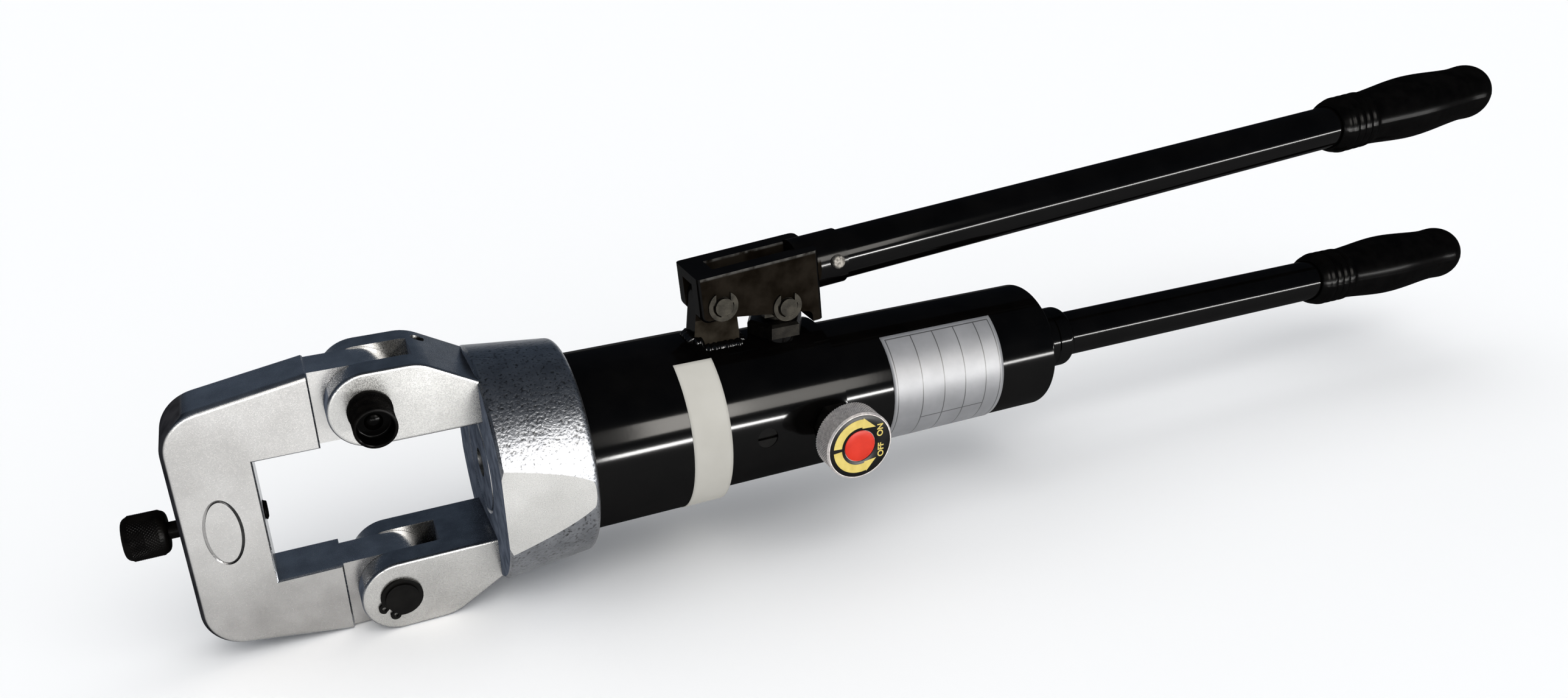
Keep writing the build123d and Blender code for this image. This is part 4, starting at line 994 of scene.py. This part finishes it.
# %% The outline of a grip
grip_length, tube_radius, lip_radius, end_radius = 119.5, 11.1, 12.1, 14.9
bore_depth, bore_gap, mouth_bevel, lip_edge = 6.0, 0.05, 0.4, 0.2
flare_start, flare_end, flare_step = 0.25, 5.0, 0.5
rib_radius, rib_height, rib_pitch, rib_count, rib_points = 14.2, 0.7, 4.75, 4, 10
belly_start, belly_step, dome_points = flare_end + rib_count * rib_pitch, 2.0, 16
dome_start = grip_length - end_radius
swell = [(belly_start, rib_radius), (59.5, 16.8), (95.0, 14.6), (104.6, end_radius)]
grip_rows = [(bore_depth, tube_radius + bore_gap), (mouth_bevel, tube_radius + bore_gap)]
grip_rows += [(0.0, tube_radius + mouth_bevel), (0.0, lip_radius - lip_edge)]
for at in steps(flare_start, flare_end, flare_step):
    rise = math.sin(at / flare_end * math.pi / 2)
    grip_rows.append((at, lip_radius + (rib_radius - lip_radius) * rise))
for at in steps(flare_end, belly_start, rib_pitch / rib_points)[1:-1]:
    bulge = math.sin(((at - flare_end) / rib_pitch % 1.0) * math.pi)
    grip_rows.append((at, rib_radius + rib_height * bulge))
grip_rows += [(at, smooth_curve(swell, at)) for at in steps(belly_start, dome_start, belly_step)]
grip_rows += corner((dome_start, 0.0), end_radius, 90, 0, count=dome_points)[1:-1]
grip_rows += [(grip_length, 0.0)]
print("grip outline points:", len(grip_rows))

# %% Mould both grips
seam_start, seam_end_gap, seam_height, seam_width = 2.0, 4.0, 0.12, 0.35
seam_shares = (0.25, 0.75)
tube_lift, lever_grip_reach, grip_columns = 3.8, 357.0, 128


def grip_relief(share, distance):
    if distance < seam_start or distance > grip_length - seam_end_gap:
        return 0.0
    from_seam = min(abs(share - seam) for seam in seam_shares)
    return seam_height * math.exp(-((from_seam * math.tau * lip_radius / seam_width) ** 2))


grip_rubber = black_finish(
    "grip_rubber", (0.0010, 0.0009, 0.0009), (0.0022, 0.0020, 0.0019), coat=0.012,
    rough=(0.17, 0.26), grain=1700, depth=0.012, mottle=160,
)
joints = {joint["name"]: joint for joint in frame["joints"]}
lever_pivot = Vector(joints["lever_swing"]["pos_m"]) / MM
lever_place = lever_pivot + lever_run * lever_grip_reach + lever_rise * tube_lift
handle_place = (box_mm("handle_grip")[0].x, 0, 0)
lever_axes, handle_axes = (lever_run.normalized(), lever_rise.normalized()), (along, up)
lever_grip = turned("lever_grip_rubber", grip_rows, lever_place, *lever_axes, grip_columns, grip_relief)
handle_grip = turned("handle_grip_rubber", grip_rows, handle_place, *handle_axes, grip_columns, grip_relief)
settle(lever_grip, grip_rubber, "lever", "lever_grip")
settle(handle_grip, grip_rubber, "tool_body", "handle_grip")

# %% [markdown]
# ## The oil bag
# The reservoir holds a soft rubber bag, so that the tool can be used in any position. Half empty, it draws
# in lengthwise folds. The folds fade towards the clamped mouth and the closed end.

# %% Build the oil bag
bag_low, bag_high = box_mm("oil_bladder")
bag_length = bag_high.x - bag_low.x
bag_radius = (bag_high.y - bag_low.y) / 2
bag_wall, bag_gap, bag_rim, bag_round, bag_step, bag_columns = 1.6, 0.1, 1.0, 8.0, 2.5, 144
fold_count, fold_depth, fold_fading, fold_lean = 9, 2.4, 0.7, 0.02


def bag_relief(share, distance):
    fullness = math.sin(math.pi * min(1.0, max(0.0, distance / bag_length))) ** fold_fading
    fold = 0.5 - 0.5 * math.cos(math.tau * fold_count * share + fold_lean * distance)
    return -fold_depth * fullness * fold


bag_skin, bag_end = bag_radius - bag_gap, bag_length - bag_round
bag_rows = [(0.0, bag_radius - bag_wall), (0.0, bag_skin)]
bag_rows += [(at, bag_skin) for at in steps(bag_rim, bag_end, bag_step)]
bag_rows += corner((bag_end, bag_skin - bag_round), bag_round, 90, 0, count=8)[1:]
bag_rows += [(bag_length, 0.0)]
oil_bag = turned("oil_bag_folded", bag_rows, (bag_low.x, 0, 0), along, up, bag_columns, bag_relief)
settle(oil_bag, seal_rubber, "tool_body", "oil_bladder")

# %% [markdown]
# ## Springs
# Three springs are pressed together when the tool works: the big one round the ram and the two small ones
# behind the valve balls. Each is a wire wound round an axis, with its end turns closer together, as they
# are in a spring that stands flat. The wire is a ring of points that travels along the winding.


# %% A helper that draws a ring along a path
def swept(name, path, sides, upward_at, section):
    builder = bmesh.new()
    rings = []
    for number, place in enumerate(path):
        ahead, behind = path[min(number + 1, len(path) - 1)], path[max(number - 1, 0)]
        upward = upward_at(place)
        sideways = (ahead - behind).normalized().cross(upward).normalized()
        middle, wide, tall = section(number, place, sideways)
        ring = []
        for side in range(sides):
            angle = math.tau * side / sides
            outward = sideways * math.cos(angle) * wide + upward * math.sin(angle) * tall
            ring.append(builder.verts.new((middle + outward) * MM))
        rings.append(ring)
    for first, second in zip(rings, rings[1:]):
        for side in range(sides):
            after = (side + 1) % sides
            builder.faces.new((first[side], first[after], second[after], second[side]))
    builder.faces.new(rings[0])
    builder.faces.new(rings[-1])
    return smooth_object(name, builder)


# %% Wind the springs
wire_sides, points_per_turn, end_closing = 14, 40, 0.45


def winding(low, high, wire, turns):
    axis, length, radius = (low + high) / 2, high.x - low.x, (high.z - low.z - wire) / 2
    path = []
    for step in range(turns * points_per_turn + 1):
        share = step / (turns * points_per_turn)
        along_share = share - end_closing * math.sin(math.tau * share) / math.tau
        angle = math.tau * turns * share
        x = low.x + wire / 2 + (length - wire) * along_share
        path.append(Vector((x, axis.y + radius * math.cos(angle), axis.z + radius * math.sin(angle))))
    return path


def wound_spring(node, wire, turns):
    low, high = box_mm(node)
    axis, length = (low + high) / 2, high.x - low.x
    made = swept(
        node + "_wound",
        winding(low, high, wire, turns),
        wire_sides,
        lambda place: Vector((0, place.y - axis.y, place.z - axis.z)).normalized(),
        lambda number, place, sideways: (place, wire / 2, wire / 2),
    )
    settle(made, spring_steel, "tool_body", node)
    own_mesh(made)


wound_spring("return_spring", wire=5.0, turns=4)
wound_spring("delivery_spring", wire=0.8, turns=3)
wound_spring("suction_spring", wire=0.8, turns=3)

# %% [markdown]
# ## Plate and band
# A thin metal plate wraps round the reservoir, printed with a border and ruled fields, and a pale band of
# tape wraps round the end of the cylinder. Both are sheets bent round a tube. A sheet is a grid of points:
# one direction runs along the tube, the other round it. The printed lines are narrow cells of the same
# grid with an ink of their own, so they lie exactly in the surface.


# %% A sheet bent round a tube
def bent_sheet(name, x_cuts, turn_cuts, radius, thick, inked):
    builder = bmesh.new()
    grid = []
    for x in x_cuts:
        column = []
        for degrees in turn_cuts:
            angle = math.radians(degrees)
            place = Vector((x, -radius * math.cos(angle), radius * math.sin(angle)))
            column.append(builder.verts.new(place * MM))
        grid.append(column)
    for step in range(len(x_cuts) - 1):
        left, right = grid[step], grid[step + 1]
        x_middle = (x_cuts[step] + x_cuts[step + 1]) / 2
        for row in range(len(turn_cuts) - 1):
            face = builder.faces.new((left[row], right[row], right[row + 1], left[row + 1]))
            face.material_index = int(inked(x_middle, (turn_cuts[row] + turn_cuts[row + 1]) / 2))
    made = mesh_object(name, builder)
    made.data.shade_smooth()
    shell = made.modifiers.new("sheet thickness", "SOLIDIFY")
    shell.thickness = thick * MM
    shell.offset = -1.0
    print(name, "cells:", len(made.data.polygons))
    return made


# %% Cuts that leave room for printed lines
line_room = 0.15


def cuts_with_lines(start, end, size, lines):
    cuts = set(steps(start, end, size))
    for low, high in lines:
        cuts = {cut for cut in cuts if not low - line_room < cut < high + line_room}
        cuts |= {low, high}
    return sorted(cuts)


# %% Rule the plate
plate_left, plate_right, plate_top, plate_bottom = 180.1, 239.2, 61.0, -76.0
line_width, border_inset, rule_turn = 0.5, 1.7, -21.0
field_shares = (0.254, 0.449, 0.641, 0.832)
reservoir_radius = box_mm("reservoir_tube")[1].z
degree = math.degrees(1 / reservoir_radius)
line_turn, inset_turn = line_width * degree, border_inset * degree
plate_width = plate_right - plate_left
border_left, border_right = plate_left + border_inset, plate_right - border_inset
border_top, border_bottom = plate_top - inset_turn, plate_bottom + inset_turn
fields = [plate_left + share * plate_width for share in field_shares]
upright_lines = [(border_left, border_left + line_width), (border_right - line_width, border_right)]
upright_lines += [(field - line_width / 2, field + line_width / 2) for field in fields]
border_lines = [(border_top - line_turn, border_top), (border_bottom, border_bottom + line_turn)]
rule_line = (rule_turn, rule_turn + line_turn)


def within(value, limits):
    return limits[0] <= value <= limits[1]


def plate_inked(x, degrees):
    if not (within(x, (border_left, border_right)) and within(degrees, (border_bottom, border_top))):
        return False
    if any(within(x, line) for line in upright_lines):
        return True
    ruled = within(degrees, rule_line) and within(x, (fields[0], fields[-1]))
    return ruled or any(within(degrees, line) for line in border_lines)


print("lines on the plate:", len(upright_lines) + len(border_lines) + 1)

# %% Make the plate
sheet_step, plate_thickness, plate_glue = 3.0, 0.4, 0.02
plate = bent_sheet(
    "data_plate",
    cuts_with_lines(plate_left, plate_right, sheet_step, upright_lines),
    cuts_with_lines(plate_bottom, plate_top, sheet_step, [*border_lines, rule_line]),
    reservoir_radius + plate_thickness + plate_glue,
    plate_thickness,
    plate_inked,
)
plate_silver = finish(
    "plate_silver", (0.22, 0.222, 0.23), (0.255, 0.257, 0.266),
    rough=(0.46, 0.54), grain=2600, depth=0.01, mottle=90, metal=0.18, specular=0.25,
)
plate_ink = finish(
    "plate_ink", (0.030, 0.030, 0.032), (0.050, 0.050, 0.052),
    rough=(0.40, 0.50), grain=2600, depth=0.01, mottle=300,
)
plate.data.materials.append(plate_silver)
settle(plate, plate_ink, "tool_body")
print("plate flat, mm:", round(plate_width, 1), "by", round((plate_top - plate_bottom) / degree, 1))

# %% Make the band of tape
band_left, band_right, band_top, band_bottom = 80.2, 97.4, 64.0, -104.0
band_step, band_thickness, band_glue = 1.5, 0.2, 0.02
cylinder_high = box_mm("front_cylinder")[1]
band = bent_sheet(
    "tape_band",
    steps(band_left, band_right, band_step),
    steps(band_bottom, band_top, sheet_step),
    cylinder_high.z + band_thickness + band_glue,
    band_thickness,
    lambda x, degrees: False,
)
tape = finish(
    "tape", (0.50, 0.483, 0.435), (0.54, 0.523, 0.475),
    rough=(0.50, 0.62), grain=1800, depth=0.01, mottle=50, specular=0.03,
)
settle(band, tape, "tool_body")
band_round = math.radians(band_top - band_bottom) * cylinder_high.z
print("band flat, mm:", round(band_right - band_left, 1), "by", round(band_round, 1))

# %% [markdown]
# ## Weld beads
# The lug is welded all round to the cylinder and the pump body, and the weld was painted with them. A weld
# bead is a row of frozen drops: round in section, scalloped along its length, never quite even. Here a
# ring of points travels along the seam, and a ripple and a little seeded unevenness change its size and
# its place. The seam steps down from the cylinder to the thinner pump body.

# %% A helper for weld beads
import random

bead_size, bead_ripple, bead_step, bead_sides, bead_flatness = 2.9, 2.7, 0.45, 14, 0.8
least_swell, bead_unevenness, bead_wander, seam_step = 0.74, 0.10, 0.25, 2.0
pump_radius = -box_mm("pump_body")[0].z
chance = random.Random(7)


def seam_point(at, lean):
    past_joint = min(1.0, max(0.0, (at - cylinder_high.x) / seam_step + 0.5))
    radius = cylinder_high.z + (pump_radius - cylinder_high.z) * past_joint
    return Vector((at, lean, math.sqrt(radius**2 - lean**2)))


def bead_section(number, place, sideways):
    ripple = abs(math.sin(number * bead_step / bead_ripple * math.pi))
    uneven = chance.uniform(1 - bead_unevenness, 1 + bead_unevenness)
    swell = bead_size * (least_swell + (1 - least_swell) * ripple) * uneven
    middle = place + sideways * chance.uniform(-bead_wander, bead_wander)
    return middle, swell, bead_flatness * swell


def away_from_axis(place):
    return Vector((0, place.y, place.z)).normalized()


def bead(name, path):
    made = swept(name, path, bead_sides, away_from_axis, bead_section)
    smooth = made.modifiers.new("round", "SUBSURF")
    smooth.levels = smooth.render_levels = 1
    return made


# %% Lay the beads
seam_gap = 0.6
lug_low, lug_high = box_mm("lever_lug")
lean = (lug_high.y - lug_low.y) / 2 + seam_gap
end_seam, rear_seam = lug_low.x - seam_gap, lug_high.x + seam_gap
long_run, cross_run = steps(end_seam, rear_seam, bead_step), steps(-lean, lean, bead_step)
beads = [
    bead("weld_bead_front", [seam_point(at, -lean) for at in long_run]),
    bead("weld_bead_back", [seam_point(at, lean) for at in long_run]),
    bead("weld_bead_end", [seam_point(end_seam, across) for across in cross_run]),
    bead("weld_bead_rear", [seam_point(rear_seam, across) for across in cross_run]),
]
weld_paint = black_finish(
    "weld_paint", (0.0010, 0.0009, 0.0008), (0.0030, 0.0027, 0.0024), coat=0.12,
    rough=(0.08, 0.18), grain=1500, depth=0.04, mottle=420,
)
for piece in beads:
    settle(piece, weld_paint, "tool_body")

# %% [markdown]
# ## The size of the CAD model
# The finished model should fill the same box as the CAD model. The CAD model's box is written down.

# %% Write the CAD box
import json

print("CAD box mm:", [round(1000 * side, 2) for side in first_high - first_low])
